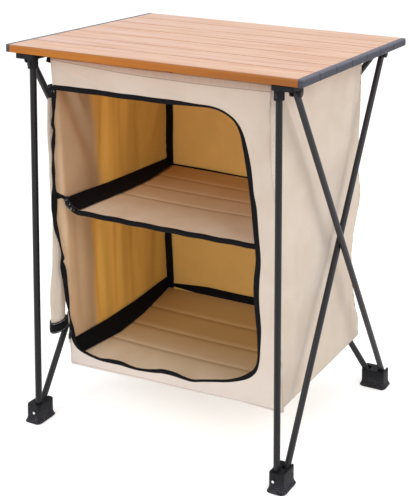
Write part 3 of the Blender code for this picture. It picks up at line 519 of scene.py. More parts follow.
# By height: how far forward the right back corner is drawn, how far the right front corner bows
# in, which is negative, and how far out the rolled door pulls the left front edge.
BACK_SLACK = [
    (0.110, 0.000), (0.150, 0.001), (0.175, 0.013), (0.230, 0.027), (0.300, 0.034),
    (0.345, 0.025), (0.392, 0.004), (0.402, 0.000), (0.428, 0.000), (0.445, 0.004),
    (0.480, 0.010), (0.540, 0.009), (0.600, 0.004), (0.716, 0.000),
]
CORNER_BOW = [
    (0.095, 0), (0.480, 0), (0.519, -0.0026), (0.560, -0.0080), (0.620, -0.0086), (0.676, -0.0050),
    (0.716, 0),
]
DOOR_PULL = [
    (0.185, 0.000), (0.245, 0.002), (0.300, 0.007), (0.316, 0.005), (0.350, 0.012),
    (0.380, 0.018), (0.405, 0.018), (0.450, 0.015), (0.500, 0.013), (0.543, 0.010),
    (0.574, 0.005), (0.585, 0.008), (0.610, 0.003), (0.660, 0.000),
]


def slack(height, side):
    """How far a back corner is drawn in; on the left it is a quarter of that on the right."""
    return read(BACK_SLACK, height) * (1 if side > 0 else 0.25)


def side_wall(side, word, inner, creases, seed):
    """x = side wall plus a swell that is widest in the middle, plus creases; y runs from the
    leaning front edge to the back seam, which is drawn in and out by its stitching. The front
    edge bows in on the right, and on the left it flares over its last few millimetres."""
    u = (np.linspace(0, 1, 130) ** 1.25)[None, :]
    v = np.linspace(0, 1, 150)[:, None]
    height = BOX_BOTTOM + (BOX_TOP - BOX_BOTTOM) * v
    front = front_depth(height)
    back = BOX_BACK + 0.0015 * np.sin(19 * v + 1.1) * np.sin(np.pi * v) - slack(height, side) + 0 * u
    depth = front + (back - front) * u
    height = height + 0 * u
    fade = np.sin(np.pi * np.clip(u, 0, 1)) ** 0.8 * np.sin(np.pi * v) ** 0.6
    swell = 0.0085 * fade + 0.0016 * fade * wander(14 * u, 5 * v, seed)
    pulls = 1.5 * sum(crease(depth, height, *line) for line in creases)
    near_edge = np.clip(np.minimum(u, 1 - u) / 0.06, 0, 1) * np.clip(np.minimum(v, 1 - v) / 0.04, 0, 1)
    out = swell + pulls * near_edge
    stitch = 0.021
    pucker = 0.0007 * np.sin(2 * np.pi * height / stitch + 3 * wander(0 * u, 6 * v, seed + 1))
    out = out + pucker * np.exp(-((1 - u) / 0.05) ** 2) + pucker * np.exp(-(u / 0.04) ** 2)
    edge, reach = (CORNER_BOW, 0.030) if side > 0 else (DOOR_PULL, 0.0065)
    out = out + read(edge, height) * np.exp(-(((depth - front) / reach) ** 2))
    points = np.stack([side * (BOX_X + np.maximum(out, -0.009)) + 0 * u * v, depth, height], -1)
    cloth = np.stack([depth + 0 * v, height], -1)
    wall = outward(skin(f"cloth_{word}", points, cloth), (side, 0, 0))
    two_sided(wall, outside, inner)
    folding(wall, f"{word}_leg", f"wall_{word}", deep=True)


# Where each crease starts and ends, as depth and height, its width, and how far it stands out.
right_creases = [
    ((-0.150, 0.690), (-0.060, 0.500), 0.016, 0.0050),
    ((-0.140, 0.700), (-0.085, 0.590), 0.007, -0.0024),
    ((-0.060, 0.520), (-0.030, 0.330), 0.020, 0.0032),
    ((0.125, 0.680), (0.075, 0.520), 0.014, 0.0046),
    ((0.150, 0.640), (0.105, 0.470), 0.010, -0.0030),
    ((0.060, 0.400), (0.090, 0.200), 0.016, 0.0026),
    ((0.140, 0.430), (0.120, 0.150), 0.012, 0.0034),
    ((-0.110, 0.420), (-0.095, 0.160), 0.012, 0.0022),
]
left_creases = right_creases + [
    ((-0.03, 0.69), (-0.03, 0.44), 0.009, 0.0034),
    ((0.02, 0.69), (0.03, 0.44), 0.008, 0.0030),
    ((0.07, 0.69), (0.08, 0.44), 0.009, 0.0034),
    ((-0.05, 0.40), (-0.04, 0.14), 0.010, 0.0036),
    ((0.01, 0.40), (0.01, 0.14), 0.008, 0.0030),
    ((0.06, 0.40), (0.06, 0.14), 0.009, 0.0034),
]
side_wall(1, "right", right_lining, right_creases, 11)
side_wall(-1, "left", left_lining, left_creases, 23)

u = np.linspace(0, 1, 130)[None, :]
v = np.linspace(0, 1, 110)[:, None]
across = (2 * u - 1) * (BOX_X + CLOTH) + 0 * v
height = BOX_BOTTOM + (BOX_TOP - BOX_BOTTOM) * v + 0 * u
fade = np.sin(np.pi * u) ** 0.7 * np.sin(np.pi * v) ** 0.6
out = fade * (0.0035 + 0.0016 * wander(11 * u, 4 * v, 5) + 0.0008 * wander(40 * u, 5 * v, 6))
for side in (1, -1):
    out = out - slack(height, side) * np.exp(-(((BOX_X + CLOTH - side * across) / 0.055) ** 2))
points = np.stack([across, BOX_BACK + out, height], -1)
back_wall = outward(skin("cloth_back", points, np.stack([across, height], -1)), (0, 1, 0))
two_sided(back_wall, outside, back_lining)
folding(back_wall, "back_panel", "wall_back")

# front panel
# The same cloth, cut away for the door, with a folded hem along its top and a corded seam down
# each side. It leans back a little towards the floor.
# Points round the door's edge, clockwise: x, height and the width of the binding there.
DOOR = [
    (-0.2290, 0.6592, 0.0105), (-0.1755, 0.6603, 0.0115), (-0.0600, 0.6612, 0.0110),
    (0.0240, 0.6610, 0.0100), (0.0820, 0.6625, 0.0055), (0.1180, 0.6618, 0.0042),
    (0.1450, 0.6560, 0.0042), (0.1660, 0.6440, 0.0046), (0.1790, 0.6230, 0.0070),
    (0.1855, 0.5950, 0.0100), (0.1905, 0.5600, 0.0115), (0.1950, 0.5200, 0.0112),
    (0.1985, 0.4780, 0.0120), (0.2005, 0.4300, 0.0118), (0.2018, 0.3900, 0.0112),
    (0.1975, 0.3480, 0.0128), (0.1962, 0.3100, 0.0125), (0.1970, 0.2800, 0.0115),
    (0.1985, 0.2550, 0.0100), (0.1980, 0.2250, 0.0066), (0.1950, 0.1960, 0.0052),
    (0.1870, 0.1745, 0.0072), (0.1720, 0.1600, 0.0092), (0.1500, 0.1480, 0.0066),
    (0.1250, 0.1390, 0.0050), (0.0960, 0.1340, 0.0044), (0.0740, 0.1295, 0.0044),
    (0.0500, 0.1235, 0.0046), (0.0300, 0.1240, 0.0056), (0.0080, 0.1262, 0.0082),
    (-0.0200, 0.1243, 0.0086), (-0.0450, 0.1190, 0.0066), (-0.0750, 0.1155, 0.0044),
    (-0.0970, 0.1160, 0.0054), (-0.1200, 0.1192, 0.0084), (-0.1450, 0.1190, 0.0078),
    (-0.1700, 0.1180, 0.0048), (-0.1980, 0.1225, 0.0048), (-0.2170, 0.1285, 0.0062),
    (-0.2280, 0.1400, 0.0090), (-0.2335, 0.1580, 0.0110), (-0.2372, 0.1850, 0.0110),
    (-0.2400, 0.2120, 0.0090), (-0.2422, 0.2450, 0.0084), (-0.2440, 0.2720, 0.0108),
    (-0.2470, 0.2950, 0.0100), (-0.2485, 0.3070, 0.0052), (-0.2455, 0.3160, 0.0096),
    (-0.2515, 0.3480, 0.0078), (-0.2580, 0.3780, 0.0112), (-0.2588, 0.4050, 0.0112),
    (-0.2555, 0.4500, 0.0106), (-0.2535, 0.5000, 0.0092), (-0.2500, 0.5430, 0.0080),
    (-0.2452, 0.5720, 0.0044), (-0.2478, 0.5850, 0.0068), (-0.2440, 0.6060, 0.0042),
    (-0.2418, 0.6260, 0.0090), (-0.2400, 0.6460, 0.0130), (-0.2385, 0.6575, 0.0120),
]


def closed_curve(control, count):
    """A smooth closed curve through the control points (Catmull-Rom), at equal steps along it.
    What follows x and z in a point is carried along with it."""
    control = np.array(control)
    t = np.linspace(0, len(control), 6 * count, endpoint=False)
    k = t.astype(int)
    s = (t - k)[:, None]
    a, b, c, d = (control[(k + step) % len(control)] for step in (-1, 0, 1, 2))
    bend, twist = 2 * a - 5 * b + 4 * c - d, 3 * b - a - 3 * c + d
    fine = 0.5 * (2 * b + (c - a) * s + bend * s**2 + twist * s**3)
    steps = np.hypot(*(np.roll(fine, -1, 0) - fine)[:, :2].T)
    run = np.concatenate([[0], np.cumsum(steps)])
    at = np.linspace(0, run[-1], count, endpoint=False)
    wrapped = np.vstack([fine, fine[:1]])
    return np.stack([np.interp(at, run, column) for column in wrapped.T], 1)


PANEL_LOW, PANEL_X = 0.0950, BOX_X + CLOTH
lean = math.atan2(FRONT_LEAN, BOX_RISE)
panel_out = np.array((0, -math.cos(lean), -math.sin(lean)))


def on_front(x, height, out=0.0):
    """Points of the leaning front face, moved out from it along its normal."""
    flat = np.stack([x, front_depth(height), height + 0 * x], -1)
    return flat + np.asarray(out)[..., None] * panel_out


# Where each tuck starts and ends, as x and height, its width, and how far it stands out.
FRONT_TUCKS = [
    ((0.215, 0.66), (0.205, 0.50), 0.008, 0.0030),
    ((-0.225, 0.700), (-0.12, 0.672), 0.006, 0.0026),
    ((-0.05, 0.690), (0.08, 0.680), 0.006, 0.0018),
    ((0.13, 0.683), (0.20, 0.640), 0.010, 0.0028),
]


def front_swell(x, height):
    """How far the front cloth stands out: soft waves that die away at its side seams and hem."""
    low = np.clip((height - PANEL_LOW) / 0.05, 0, 1)
    side = np.clip((BOX_X - np.abs(x)) / 0.05, 0, 1) * (0.15 + 0.85 * low)
    waves = 0.0020 * wander(16 * x, 9 * height, 41) + 0.0010 * wander(60 * x, 30 * height, 42)
    tucks = sum(crease(x, height, *line) for line in FRONT_TUCKS)
    return 0.0015 + side * (waves + tucks + 0.0015)


curve = closed_curve(DOOR, 520)
door, door_tape = curve[:, :2], curve[:, 2]
middle = np.array((-0.02, 0.40))
spokes = door - middle
room_x = np.where(spokes[:, 0] > 0, PANEL_X - middle[0], PANEL_X + middle[0])
room_z = np.where(spokes[:, 1] > 0, BOX_TOP - middle[1], middle[1] - PANEL_LOW)
with np.errstate(divide="ignore"):
    reach = (np.stack([room_x, room_z], 1) / np.abs(spokes)).min(1)
rim = middle + spokes * reach[:, None]
for exact in ((-PANEL_X, BOX_TOP), (PANEL_X, BOX_TOP), (PANEL_X, PANEL_LOW), (-PANEL_X, PANEL_LOW)):
    rim[np.argmin(np.hypot(*(rim - exact).T))] = exact
rim[:, 0] = np.minimum(rim[:, 0], np.where(spokes[:, 0] < -0.15, door[:, 0] - 0.0015, 1))
share = np.linspace(0, 1, 26)[None, :, None] ** 1.15
flat = door[:, None, :] + (rim - door)[:, None, :] * share
x, height = flat[..., 0], flat[..., 1]
# How far the lower edge is lifted, by x.
HEM_LIFT = [
    (-0.240, -0.003), (-0.105, 0.001), (0.000, 0.004), (0.150, 0.010), (0.218, 0.008),
    (0.242, 0.0075),
]
drape = read(HEM_LIFT, x) * share[..., 0] * np.clip((0.16 - height) / 0.05, 0, 1)
points = on_front(x, height + drape, front_swell(x, height))
points[..., 0] += read(CORNER_BOW, height) * np.clip((x - 0.20) / 0.04, 0, 1)
front = skin("cloth_front", points, np.concatenate([flat, flat[:1]]), ring_rows=True)
outward(front, (0, -1, 0))
# The stitching lines: the upper hem sags in a shallow curve, and the lower one rises evenly.
HEM, HEM_BEND, HEM_MIDDLE = 0.7015, 0.1008, 0.10
LOW_HEM, LOW_HEM_RISE = 0.1015, 0.022
face = Finish("front_cloth", **MATT)
tone = weave(face, shade(230, 214, 199), shade(222, 204, 187))
aside, above = face.along("X"), face.along("Z")
# Painted shade and light: the front cloth darkens towards the top and lightens towards the bottom.
tone = face.mix(face.step(above, 0.40, 0.70) * 0.45, tone, shade(202, 180, 162))
tone = face.mix(face.step(above, 0.30, 0.10) * 0.60, tone, shade(250, 236, 228))
hem = above - HEM - HEM_BEND * ((aside - HEM_MIDDLE) * (aside - HEM_MIDDLE))
# Painted shade: the band above the upper hem line is darker, in the shadow of the top, and patchy where
# the cloth puckers.
pucker_shade = face.noise(0.004, (1, 1, 0.2), 2.0)
tone = face.mix(face.step(hem, 0.0, 0.003) * (0.30 + 0.5 * pucker_shade), tone, shade(186, 152, 134))
low_hem = face.step(abs(above - LOW_HEM - LOW_HEM_RISE * aside), 0.0012, 0.0003)
lines = face.step(abs(hem), 0.0016, 0.0005) * 0.6 + low_hem * 0.35
face.set("Base Color", face.mix(lines, tone, shade(140, 112, 92)))
two_sided(front, face, right_lining)
folding(front, "left_leg", "panel_front")


def rope(name, path, across, profile, finish, twist=0.0, closed=False):
    """A profile carried along a path: each point of the profile is (across, out) in metres, set
    out in the frame made by the path's direction and the across vector, and turned by twist."""
    path = np.asarray(path, float)
    ahead = np.roll(path, -1, 0) - np.roll(path, 1, 0) if closed else np.gradient(path, axis=0)
    ahead /= np.linalg.norm(ahead, axis=1, keepdims=True)
    out = np.cross(np.broadcast_to(across, path.shape), ahead)
    out /= np.linalg.norm(out, axis=1, keepdims=True)
    side = np.cross(ahead, out)
    angle = np.broadcast_to(twist, len(path))[:, None]
    turned_side = side * np.cos(angle) + out * np.sin(angle)
    turned_out = out * np.cos(angle) - side * np.sin(angle)
    profile = np.asarray(profile, float)
    if profile.ndim == 2:
        profile = np.broadcast_to(profile, (len(path), *profile.shape))
    points = path[:, None] + profile[..., :1] * turned_side[:, None]
    points = points + profile[..., 1:] * turned_out[:, None]
    run = np.concatenate([[0], np.cumsum(np.linalg.norm(np.diff(path, axis=0), axis=1))])
    if closed:
        run = np.append(run, run[-1] + np.linalg.norm(path[0] - path[-1]))
    ring = np.vstack([profile[0], profile[0][:1]])
    girth = np.concatenate([[0], np.cumsum(np.hypot(*np.diff(ring, axis=0).T))])
    cloth = np.stack(np.broadcast_arrays(run[:, None], girth[None, :]), -1)
    obj = skin(name, points, cloth, ring_rows=closed, ring_columns=True)
    if not closed:
        count, last = profile.shape[1], (len(path) - 1) * profile.shape[1]
        add_caps(obj, [list(range(count))[::-1], list(range(last, last + count))])
    obj.data.materials.append(finish.material)
    return obj


def add_caps(obj, loops):
    """Closes the open ends of a carried profile with one face each."""
    mesh = obj.data
    vertices = [tuple(v.co) for v in mesh.vertices]
    faces = [tuple(p.vertices) for p in mesh.polygons] + [tuple(loop) for loop in loops]
    old = np.zeros(len(mesh.loops) * 2)
    mesh.uv_layers[0].data.foreach_get("uv", old)
    extra = np.zeros(2 * sum(len(loop) for loop in loops))
    name = mesh.name
    fresh = bpy.data.meshes.new(name)
    fresh.from_pydata(vertices, [], faces)
    fresh.uv_layers.new(name="cloth").data.foreach_set("uv", np.concatenate([old, extra]))
    fresh.shade_smooth()
    fresh.set_sharp_from_angle(angle=math.radians(50))
    obj.data = fresh


def flat_oval(width, thickness, count=12):
    """The section of a folded tape: wide, thin and round at both edges."""
    angle = np.linspace(0, 2 * np.pi, count, endpoint=False)
    x = np.sign(np.cos(angle)) * np.abs(np.cos(angle)) ** 0.6
    z = np.sign(np.sin(angle)) * np.abs(np.sin(angle)) ** 0.8
    return np.stack([x * width / 2, z * thickness / 2], 1)


seam_cord = Finish("seam_cloth", Roughness=0.9, Specular_IOR_Level=0.2)
seam_cord.set("Base Color", weave(seam_cord, shade(216, 198, 180), shade(204, 184, 164)))
for side, word in ((1, "right"), (-1, "left")):
    v = np.linspace(0, 1, 140)
    seam_low = PANEL_LOW + (0.0095 if side > 0 else 0.0)
    height = seam_low + (BOX_TOP - seam_low) * v
    sway = 0.0016 * np.sin(17 * v + side) + 0.0012 * np.sin(31 * v)
    # Beside the door, the left seam is tucked behind the binding.
    tucked = np.clip((height - 0.150) / 0.02, 0, 1) * np.clip((0.650 - height) / 0.02, 0, 1)
    tucked = tucked * (side < 0)
    edge_x = BOX_X + 0.0006 + (read(DOOR_PULL, height) + 0.002) * tucked
    path = on_front(side * edge_x, height, 0.0012 + sway * 0.6 - 0.0030 * tucked)
    path[:, 0] += sway + (read(CORNER_BOW, height) if side > 0 else 0)
    seam = rope(f"seam_{word}", path, (1, 0, 0), flat_oval(0.0036, 0.0026, 10), seam_cord)
    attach(seam, f"{word}_leg")

# door binding and zip
# Black woven tape folded over the cloth's edge all round the door, with the zip's coil along it.
# On the left, where the door is rolled away, the tape is loose and twists.
webbing = Finish("black_webbing", Roughness=0.85, Specular_IOR_Level=0.10)
run, girth = webbing.along("X", "UV"), webbing.along("Y", "UV")
ribs = (run * (2 * math.pi / 0.0013)).apply("SINE")
rows = (girth * (2 * math.pi / 0.0016)).apply("SINE")
lint = webbing.noise(0.004, detail=4.0)
ink = webbing.mix(webbing.step(lint, 0.35, 0.75), shade(9, 9, 11), shade(21, 21, 24))
webbing.set("Base Color", webbing.mix((ribs * rows * 0.5 + 0.5) * 0.07, ink, shade(70, 69, 76)))
webbing.bump(ribs * 0.5 + rows * 0.3 + lint * 0.4, 0.0005, 0.5)

x, height = door.T
on_left = np.clip((-0.225 - x) / 0.008, 0, 1) * np.clip((0.640 - height) / 0.03, 0, 1)
twist = on_left * (0.45 * np.sin(height * 41) + 0.3 * np.sin(height * 97 + 1))
path = on_front(x, height, front_swell(x, height) + 0.0008)
radial = np.stack([np.gradient(height), 0 * door_tape, -np.gradient(x)], 1)
radial /= np.linalg.norm(radial, axis=1, keepdims=True)
sizes = np.stack([door_tape, 0.0040 - 0.12 * door_tape], 1)
section = flat_oval(1.0, 1.0, 16)[None] * sizes[:, None, :]
binding = rope("door_edge", path, radial, section, webbing, twist=twist, closed=True)
folding(binding, "left_leg", "door_binding")

# shelf and floor
# Stiff boards sewn into sleeves of the same cloth, in four strips with a crease between one and
# the next. Black webbing ties them to the side walls and along the back wall.
def board_cloth(name, first, pitch, deep_at):
    """The sleeve's cloth, browner towards the depth deep_at in painted shade and amber light from the
    lining, with three soft creases: a dark line of painted shade and a paler one of painted
    highlight behind it, from the depth first on, one every pitch."""
    finish = Finish(name, Roughness=0.85, Specular_IOR_Level=0.25)
    tone = weave(finish, shade(238, 222, 198), shade(228, 208, 180))
    depth = finish.along("Y")
    # Painted shade and amber light from the lining: the cloth browns towards the back.
    inward_shade = finish.step(depth, -0.125, deep_at, smooth=False)
    tone = finish.mix(inward_shade * 0.94, tone, shade(188, 150, 90))
    place = (depth - first) / pitch
    off = place - place.apply("ROUND")
    inside = finish.step(place, -0.45, -0.40) * finish.step(place, 2.45, 2.40)
    # Painted shade: a dark line along each crease.
    dark = finish.step(off, -0.22, 0.0) * finish.step(off, 0.02, 0.0) * inside
    tone = finish.mix(dark * 0.28, tone, shade(112, 84, 50))
    # Painted highlight: a paler line just behind each crease.
    light = finish.step(off, 0.02, 0.05) * finish.step(off, 0.24, 0.05) * inside
    finish.set("Base Color", finish.mix(light * 0.14, tone, shade(246, 226, 196)))
    return finish


SHELF_CREASES, FLOOR_CREASES = (-0.029, 0.061), (-0.049, 0.066)
shelf_cloth = board_cloth("shelf_cloth", *SHELF_CREASES, 0.12)
floor_finish = board_cloth("floor_sleeve", *FLOOR_CREASES, 0.03)


def board_surface(name, top, front, sag, creases, dip, tilt, finish):
    """A cushion-edged plate: the top dips at each crease, sags in the middle and falls by dip
    towards its back edge, with tilt more on the right; the underside follows it one board lower.
    The left front corner is cut back to make room for the tab."""
    half, back = BOX_X - 0.003, BOX_BACK - 0.0035
    u = np.linspace(-1, 1, 90)[:, None]
    v = np.linspace(0, 1, 150)[None, :]
    first, pitch = creases
    lines = first + pitch * np.arange(3)
    off = np.abs(front + (back - front) * v[..., None] - lines).min(-1)
    groove = 0.0008 * np.exp(-((off / 0.004) ** 2))
    fall = dip * np.clip((v - 0.35) / 0.65, 0, 1) ** 2 * (1 - tilt + tilt * u)
    ripple = 0.0003 * wander(5 * u, 9 * v, 71)
    droop = sag * (1 - u**2) * np.sin(np.pi * np.clip(v, 0, 1)) ** 0.5
    surface = top - 0.0008 - groove + ripple - droop - fall
    edge = np.clip((1 - np.abs(u)) / 0.02, 0, 1) * np.clip(np.minimum(v, 1 - v) / 0.02, 0, 1)
    thick = 0.0030 + 0.0025 * np.sqrt(edge)
    x = half * u + 0 * v
    cut = 0.012 * np.clip((-u - 0.88) / 0.12, 0, 1) ** 1.3
    y = front + cut + (back - front - cut) * v
    upper = np.stack([x, y, surface + 0 * u * v], -1)
    lower = np.stack([x, y, surface - thick], -1)
    points = np.concatenate([upper, lower[:, ::-1]], 1)
    rolled = np.concatenate([y, 0.34 + y[:, ::-1]], 1)
    rolled = np.concatenate([rolled, rolled[:, :1]], 1)
    wide = np.concatenate([x, x, x[:, :1]], 1)
    obj = skin(name, points, np.stack([wide, rolled], -1), ring_columns=True)
    width = points.shape[1]
    last = (points.shape[0] - 1) * width
    add_caps(obj, [list(range(width)), list(range(last, last + width))[::-1]])
    obj.data.materials.append(finish.material)
    return closed_outward(obj)


def closed_outward(obj):
    """Turns a closed skin right side out: its signed volume must be positive."""
    mesh = obj.data
    mesh.calc_loop_triangles()
    points = np.zeros(len(mesh.vertices) * 3)
    mesh.vertices.foreach_get("co", points)
    corners = np.zeros(len(mesh.loop_triangles) * 3, int)
    mesh.loop_triangles.foreach_get("vertices", corners)
    a, b, c = points.reshape(-1, 3)[corners.reshape(-1, 3)].transpose(1, 0, 2)
    if np.einsum("ij,ij->", a, np.cross(b, c)) < 0:
        mesh.flip_normals()
    return obj


SHELF_TOP, FLOOR_TOP, SHELF_EDGE = 0.415, 0.116, 0.409
shelf_front = front_depth(SHELF_EDGE) + 0.0003
shelf = board_surface(
    "shelf_board", SHELF_TOP, shelf_front + 0.0048,
    sag=0.0035, creases=SHELF_CREASES, dip=0.0085, tilt=0.4, finish=shelf_cloth,
)
folding(shelf, "shelf", "shelf")
ground = board_surface(
    "floor_cloth", FLOOR_TOP, front_depth(BOX_BOTTOM) + 0.0006,
    sag=0.0030, creases=FLOOR_CREASES, dip=-0.0125, tilt=0.0, finish=floor_finish,
)
folding(ground, "floor_board", "floor_board")

u = np.linspace(-0.925, 1, 120)
x = (BOX_X - 0.0022) * u
sag = 0.0035 * (1 - u**2) * 0.35 - 0.005 * np.clip((-u - 0.86) / 0.065, 0, 1)
height = SHELF_TOP - 0.0030 - sag + 0.0005 * np.sin(23 * u)
path = np.stack([x, shelf_front + 0.0026 + 0 * x, height], 1)
shelf_edge = rope("shelf_edge", path, (0, 0, 1), flat_oval(0.0098, 0.0050, 14), webbing)
folding(closed_outward(shelf_edge), "shelf", "shelf_binding")

# A side band is bent in over the board. Each row: depth, reach over the board, upper edge.
SHELF_BAND = [
    (-0.152, 0.034, 0.4350), (-0.091, 0.037, 0.4330), (-0.026, 0.042, 0.4290),
    (0.052, 0.040, 0.4275), (0.137, 0.024, 0.4262), (0.160, 0.018, 0.4262),
]
FLOOR_BAND = [
    (-0.128, 0.018, 0.1445), (-0.115, 0.020, 0.1426), (-0.031, 0.031, 0.1399),
    (0.059, 0.021, 0.1429), (0.130, 0.009, 0.1500), (0.160, 0.004, 0.1520),
]
# Piece, board's top, rows, how far it starts behind the front, and how much its low edge rises.
bands = (
    ("shelf", SHELF_TOP, SHELF_BAND, 0.007, 0.0),
    ("floor", FLOOR_TOP, FLOOR_BAND, 0.001, 0.0085),
)
for side, word in ((-1, "left"), (1, "right")):
    for label, board_top, outline, behind, rise in bands:
        y = np.linspace(front_depth(board_top) + behind, BOX_BACK - 0.0023, 110)
        depths, reaches, tops = zip(*outline)
        reach, high = np.interp(y, depths, reaches), np.interp(y, depths, tops)
        low = board_top + 0.0008 + rise * np.clip((y - 0.02) / 0.14, 0, 1) ** 2
        width = high - low
        path = np.stack([side * (BOX_X - 0.0014) + 0 * y, y, (high + low) / 2], 1)
        place, out = flat_oval(1.0, 0.0016, 30).T
        bent = np.clip(0.5 - place, 0, 1) ** 1.7
        out = out[None] + side * bent[None] * reach[:, None]
        section = np.stack([place[None] * width[:, None], out], -1)
        band = rope(f"{label}_webbing_{word}", path, (0, 0, 1), section, webbing)
        folding(closed_outward(band), f"{word}_leg", f"{label}_band_{word}", deep=True)

# A tab at the front end of the left shelf band, a tie from it to the loose binding, and the knot
# where the binding turns its upper left corner, all of the same webbing; the tab and the knot are worn to
# light flecks.
worn = Finish("worn_webbing", Roughness=0.8, Specular_IOR_Level=0.15)
fleck = worn.noise(0.0026, detail=2.0)
worn.set("Base Color", worn.mix(worn.step(fleck, 0.62, 0.68), shade(15, 15, 18), shade(176, 176, 184)))
worn.bump(fleck, 0.0008, 0.6)
tie_y = float(front_depth(0.438))
# Three points of each piece, from its start to its end, and its width at each.
loose_ends = {
    "shelf_tie": (
        ((-0.2565, tie_y, 0.4385), (-0.2480, tie_y + 0.006, 0.4370), (-0.2385, -0.1410, 0.4330)),
        (0.017, 0.008, 0.005),
    ),
    "shelf_tab": (
        ((-0.2375, -0.1440, 0.4360), (-0.2280, -0.1475, 0.4255), (-0.2120, -0.1490, 0.4155)),
        (0.010, 0.014, 0.010),
    ),
    "corner_knot": (
        ((-0.2470, -0.1700, 0.6640), (-0.2440, -0.1695, 0.6560), (-0.2415, -0.1680, 0.6460)),
        (0.009, 0.014, 0.009),
    ),
}
s = np.linspace(0, 2, 24)
for name, (spots, widths) in loose_ends.items():
    path = np.stack([np.interp(s, (0, 1, 2), column) for column in zip(*spots)], 1)
    sizes = np.stack([np.interp(s, (0, 1, 2), widths), 0.0030 + 0.0008 * np.sin(7 * s)], 1)
    section = flat_oval(1.0, 1.0, 14)[None] * sizes[:, None, :]
    across, finish = ((0, 0, 1), webbing) if name == "shelf_tie" else ((1, 0, 0.6), worn)
    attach(closed_outward(rope(name, path, across, section, finish)), "left_leg")

# Tape up both back corners, and along the back wall behind the shelf and the floor.
pieces = []
for side, word in ((-1, "left"), (1, "right")):
    height = np.linspace(BOX_BOTTOM + 0.002, BOX_TOP - 0.002, 120)
    behind = BOX_BACK - 0.0014 - slack(height, side)
    path = np.stack([side * (BOX_X - 0.0090) + 0.0008 * np.sin(height * 40), behind, height], 1)
    pieces.append(rope(f"corner_tape_{word}", path, (1, 0, 0), flat_oval(0.0190, 0.0016, 14), webbing))
x = np.linspace(-BOX_X + 0.003, BOX_X - 0.003, 110)
for label, middle_height, width in (
    ("shelf", 0.4122 - 0.0051 - 0.0034 * x / BOX_X, 0.010 + 0 * x),
    ("floor", 0.1345 + 0 * x, 0.0070 + 0.0150 * np.clip((x + 0.23) / 0.10, 0, 1)),
):
    path = np.stack([x, BOX_BACK - 0.0015 + 0 * x, middle_height + 0.0005 * np.sin(x * 31)], 1)
    section = flat_oval(1.0, 0.0016, 14)[None] * np.stack([width, 1 + 0 * x], 1)[:, None, :]
    pieces.append(rope(f"back_webbing_{label}", path, (0, 0, 1), section, webbing))
for piece in pieces:
    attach(closed_outward(piece), "back_panel")
    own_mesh(piece)
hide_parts("back_binding")

# straps to the hubs
# Short black straps from the cupboard's upper corners, which hold it up on the hubs.
# Each end's strap runs along one axis, is wide along another, and sags a little.
s = np.linspace(0, 1, 40)
for word in ("left", "right"):
    for end, along, wide, sag in (("front", 0, 2, 0.0012), ("back", 1, 0, 0.0010)):
        low, high = map(np.array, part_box(f"strap_{end}_{word}"))
        path = np.tile((low + high) / 2, (len(s), 1))
        path[:, along] = low[along] + (high[along] - low[along]) * s
        path[:, 2] -= sag * np.sin(np.pi * s)
        section = flat_oval(high[wide] - low[wide], 0.0018, 12)
        strap = rope(f"{end}_strap_{word}", path, np.eye(3)[wide], section, webbing)
        folding(closed_outward(strap), f"{word}_leg", f"strap_{end}_{word}", deep=True)

# rolled door
# The door, unzipped and rolled up into an upright roll beside the left front corner, held by a
# black webbing ring near its lower end.
# By height: x of the roll's middle, its radius, and how far that lies behind the front face.
ROLL = [
    (0.158, -0.2730, 0.0140, 0.002), (0.210, -0.2725, 0.0145, 0.003), (0.254, -0.2700, 0.0138, 0.005),
    (0.297, -0.2688, 0.0128, 0.009), (0.339, -0.2678, 0.0122, 0.013), (0.392, -0.2660, 0.0116, 0.014),
    (0.443, -0.2668, 0.0110, 0.014), (0.474, -0.2672, 0.0105, 0.013), (0.525, -0.2650, 0.0095, 0.012),
    (0.576, -0.2641, 0.0085, 0.011), (0.617, -0.2622, 0.0070, 0.010), (0.631, -0.2615, 0.0062, 0.010),
]
roll_low, roll_high = 0.158, 0.631
ring_middle = 0.168
count = 170
share = np.linspace(0, 1, count)
height = roll_low + (roll_high - roll_low) * share
heights, *columns = zip(*ROLL)
roll_x, size, behind = (np.interp(height, heights, column) for column in columns)
pinch = np.exp(-(((height - ring_middle) / 0.020) ** 2))
angle = np.linspace(0, 2 * np.pi, 64, endpoint=False)[None, :]
spiral = 1 - 0.16 * ((angle / (2 * np.pi) + 0.15 * np.sin(5 * share)[:, None]) % 1)
lobes = 1 + 0.06 * np.sin(3 * angle + 6 * share[:, None])
lobes = lobes + 0.03 * np.sin(7 * angle - 11 * share[:, None])
spoke = size[:, None] * (spiral * lobes * (1 - pinch[:, None]) + 0.93 * pinch[:, None])
spoke = spoke * (1 + 0.05 * np.sin(height * 60)[:, None] * (1 - pinch[:, None]))
roll_y = front_depth(height) + behind
sway_x, sway_y = 0.0008 * np.sin(height * 22), 0.0008 * np.cos(height * 27)
centre = np.stack([roll_x + sway_x, roll_y + sway_y, height], 1)
ring = np.stack([np.cos(angle) * spoke, np.sin(angle) * spoke, 0 * spoke], -1)
points = centre[:, None, :] + ring
girth = np.linspace(0, 0.07, angle.shape[1] + 1)
cloth = np.stack(np.broadcast_arrays(girth[None, :], height[:, None]), -1)
rolled = skin("rolled_door", points, cloth, ring_columns=True)
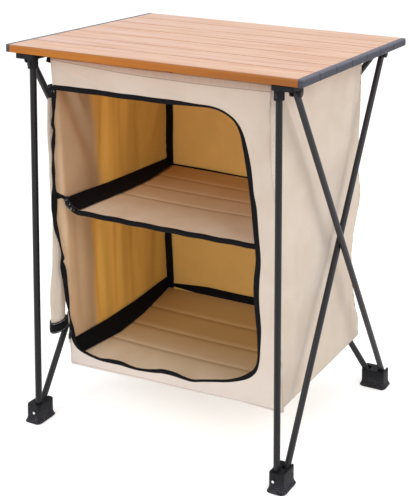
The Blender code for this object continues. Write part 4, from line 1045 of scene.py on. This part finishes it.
last = (count - 1) * angle.shape[1]
add_caps(rolled, [list(range(angle.shape[1]))[::-1], list(range(last, last + angle.shape[1]))])
rolled.data.materials.append(outside.material)
folding(closed_outward(rolled), "left_leg", "door_roll")

turns = np.linspace(0, 2 * np.pi, 72, endpoint=False)
ring_out = 0.0150
path = np.stack([
    roll_x[0] + ring_out * np.cos(turns),
    front_depth(ring_middle) + 0.002 + ring_out * np.sin(turns),
    ring_middle + 0.0030 * np.sin(turns) + 0.0020 * np.cos(turns),
], 1)
cuff = Finish("ring_webbing", Roughness=0.8, Specular_IOR_Level=0.12)
girth = cuff.along("Y", "UV")
RING_WIDTH, EDGE_LINE = 0.0220, 0.0085
across_face = abs((girth / (RING_WIDTH * 1.02)).apply("FRACT") - 0.5) * RING_WIDTH
line = cuff.step(abs(across_face - EDGE_LINE), 0.0009, 0.0003)
nap = cuff.noise(0.003, detail=3.0)
line = line * cuff.step(nap, 0.40, 0.60)
cuff.set("Base Color", cuff.mix(line, shade(17, 17, 20), shade(168, 168, 174)))
cuff.bump(nap, 0.0004, 0.5)
loop = rope("roll_loop", path, (0, 0, 1), flat_oval(RING_WIDTH, 0.0018, 16), cuff, closed=True)
folding(closed_outward(loop), "left_leg", "roll_ring")

zip_black = Finish("zip_black", Roughness=0.35, Metallic=0.7)
chip = zip_black.noise(0.002)
chip = zip_black.step(chip, 0.55, 0.75)
zip_black.set("Base Color", zip_black.mix(chip, shade(36, 36, 39), shade(84, 84, 88)))
finish_nodes(zip_black, "zip_slider")
pull_finish = Finish("zip_pull", Roughness=0.32, Metallic=1.0)
rub = pull_finish.noise(0.003)
down = pull_finish.along("Z")
low_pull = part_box("zip_pull")[0][2]
bright = pull_finish.step(down, low_pull + 0.009, low_pull + 0.007, smooth=False)
dark_metal = pull_finish.mix(rub, shade(40, 40, 43), shade(66, 66, 70))
pull_finish.set("Base Color", pull_finish.mix(bright, dark_metal, shade(214, 213, 211)))
finish_nodes(pull_finish, "zip_pull")
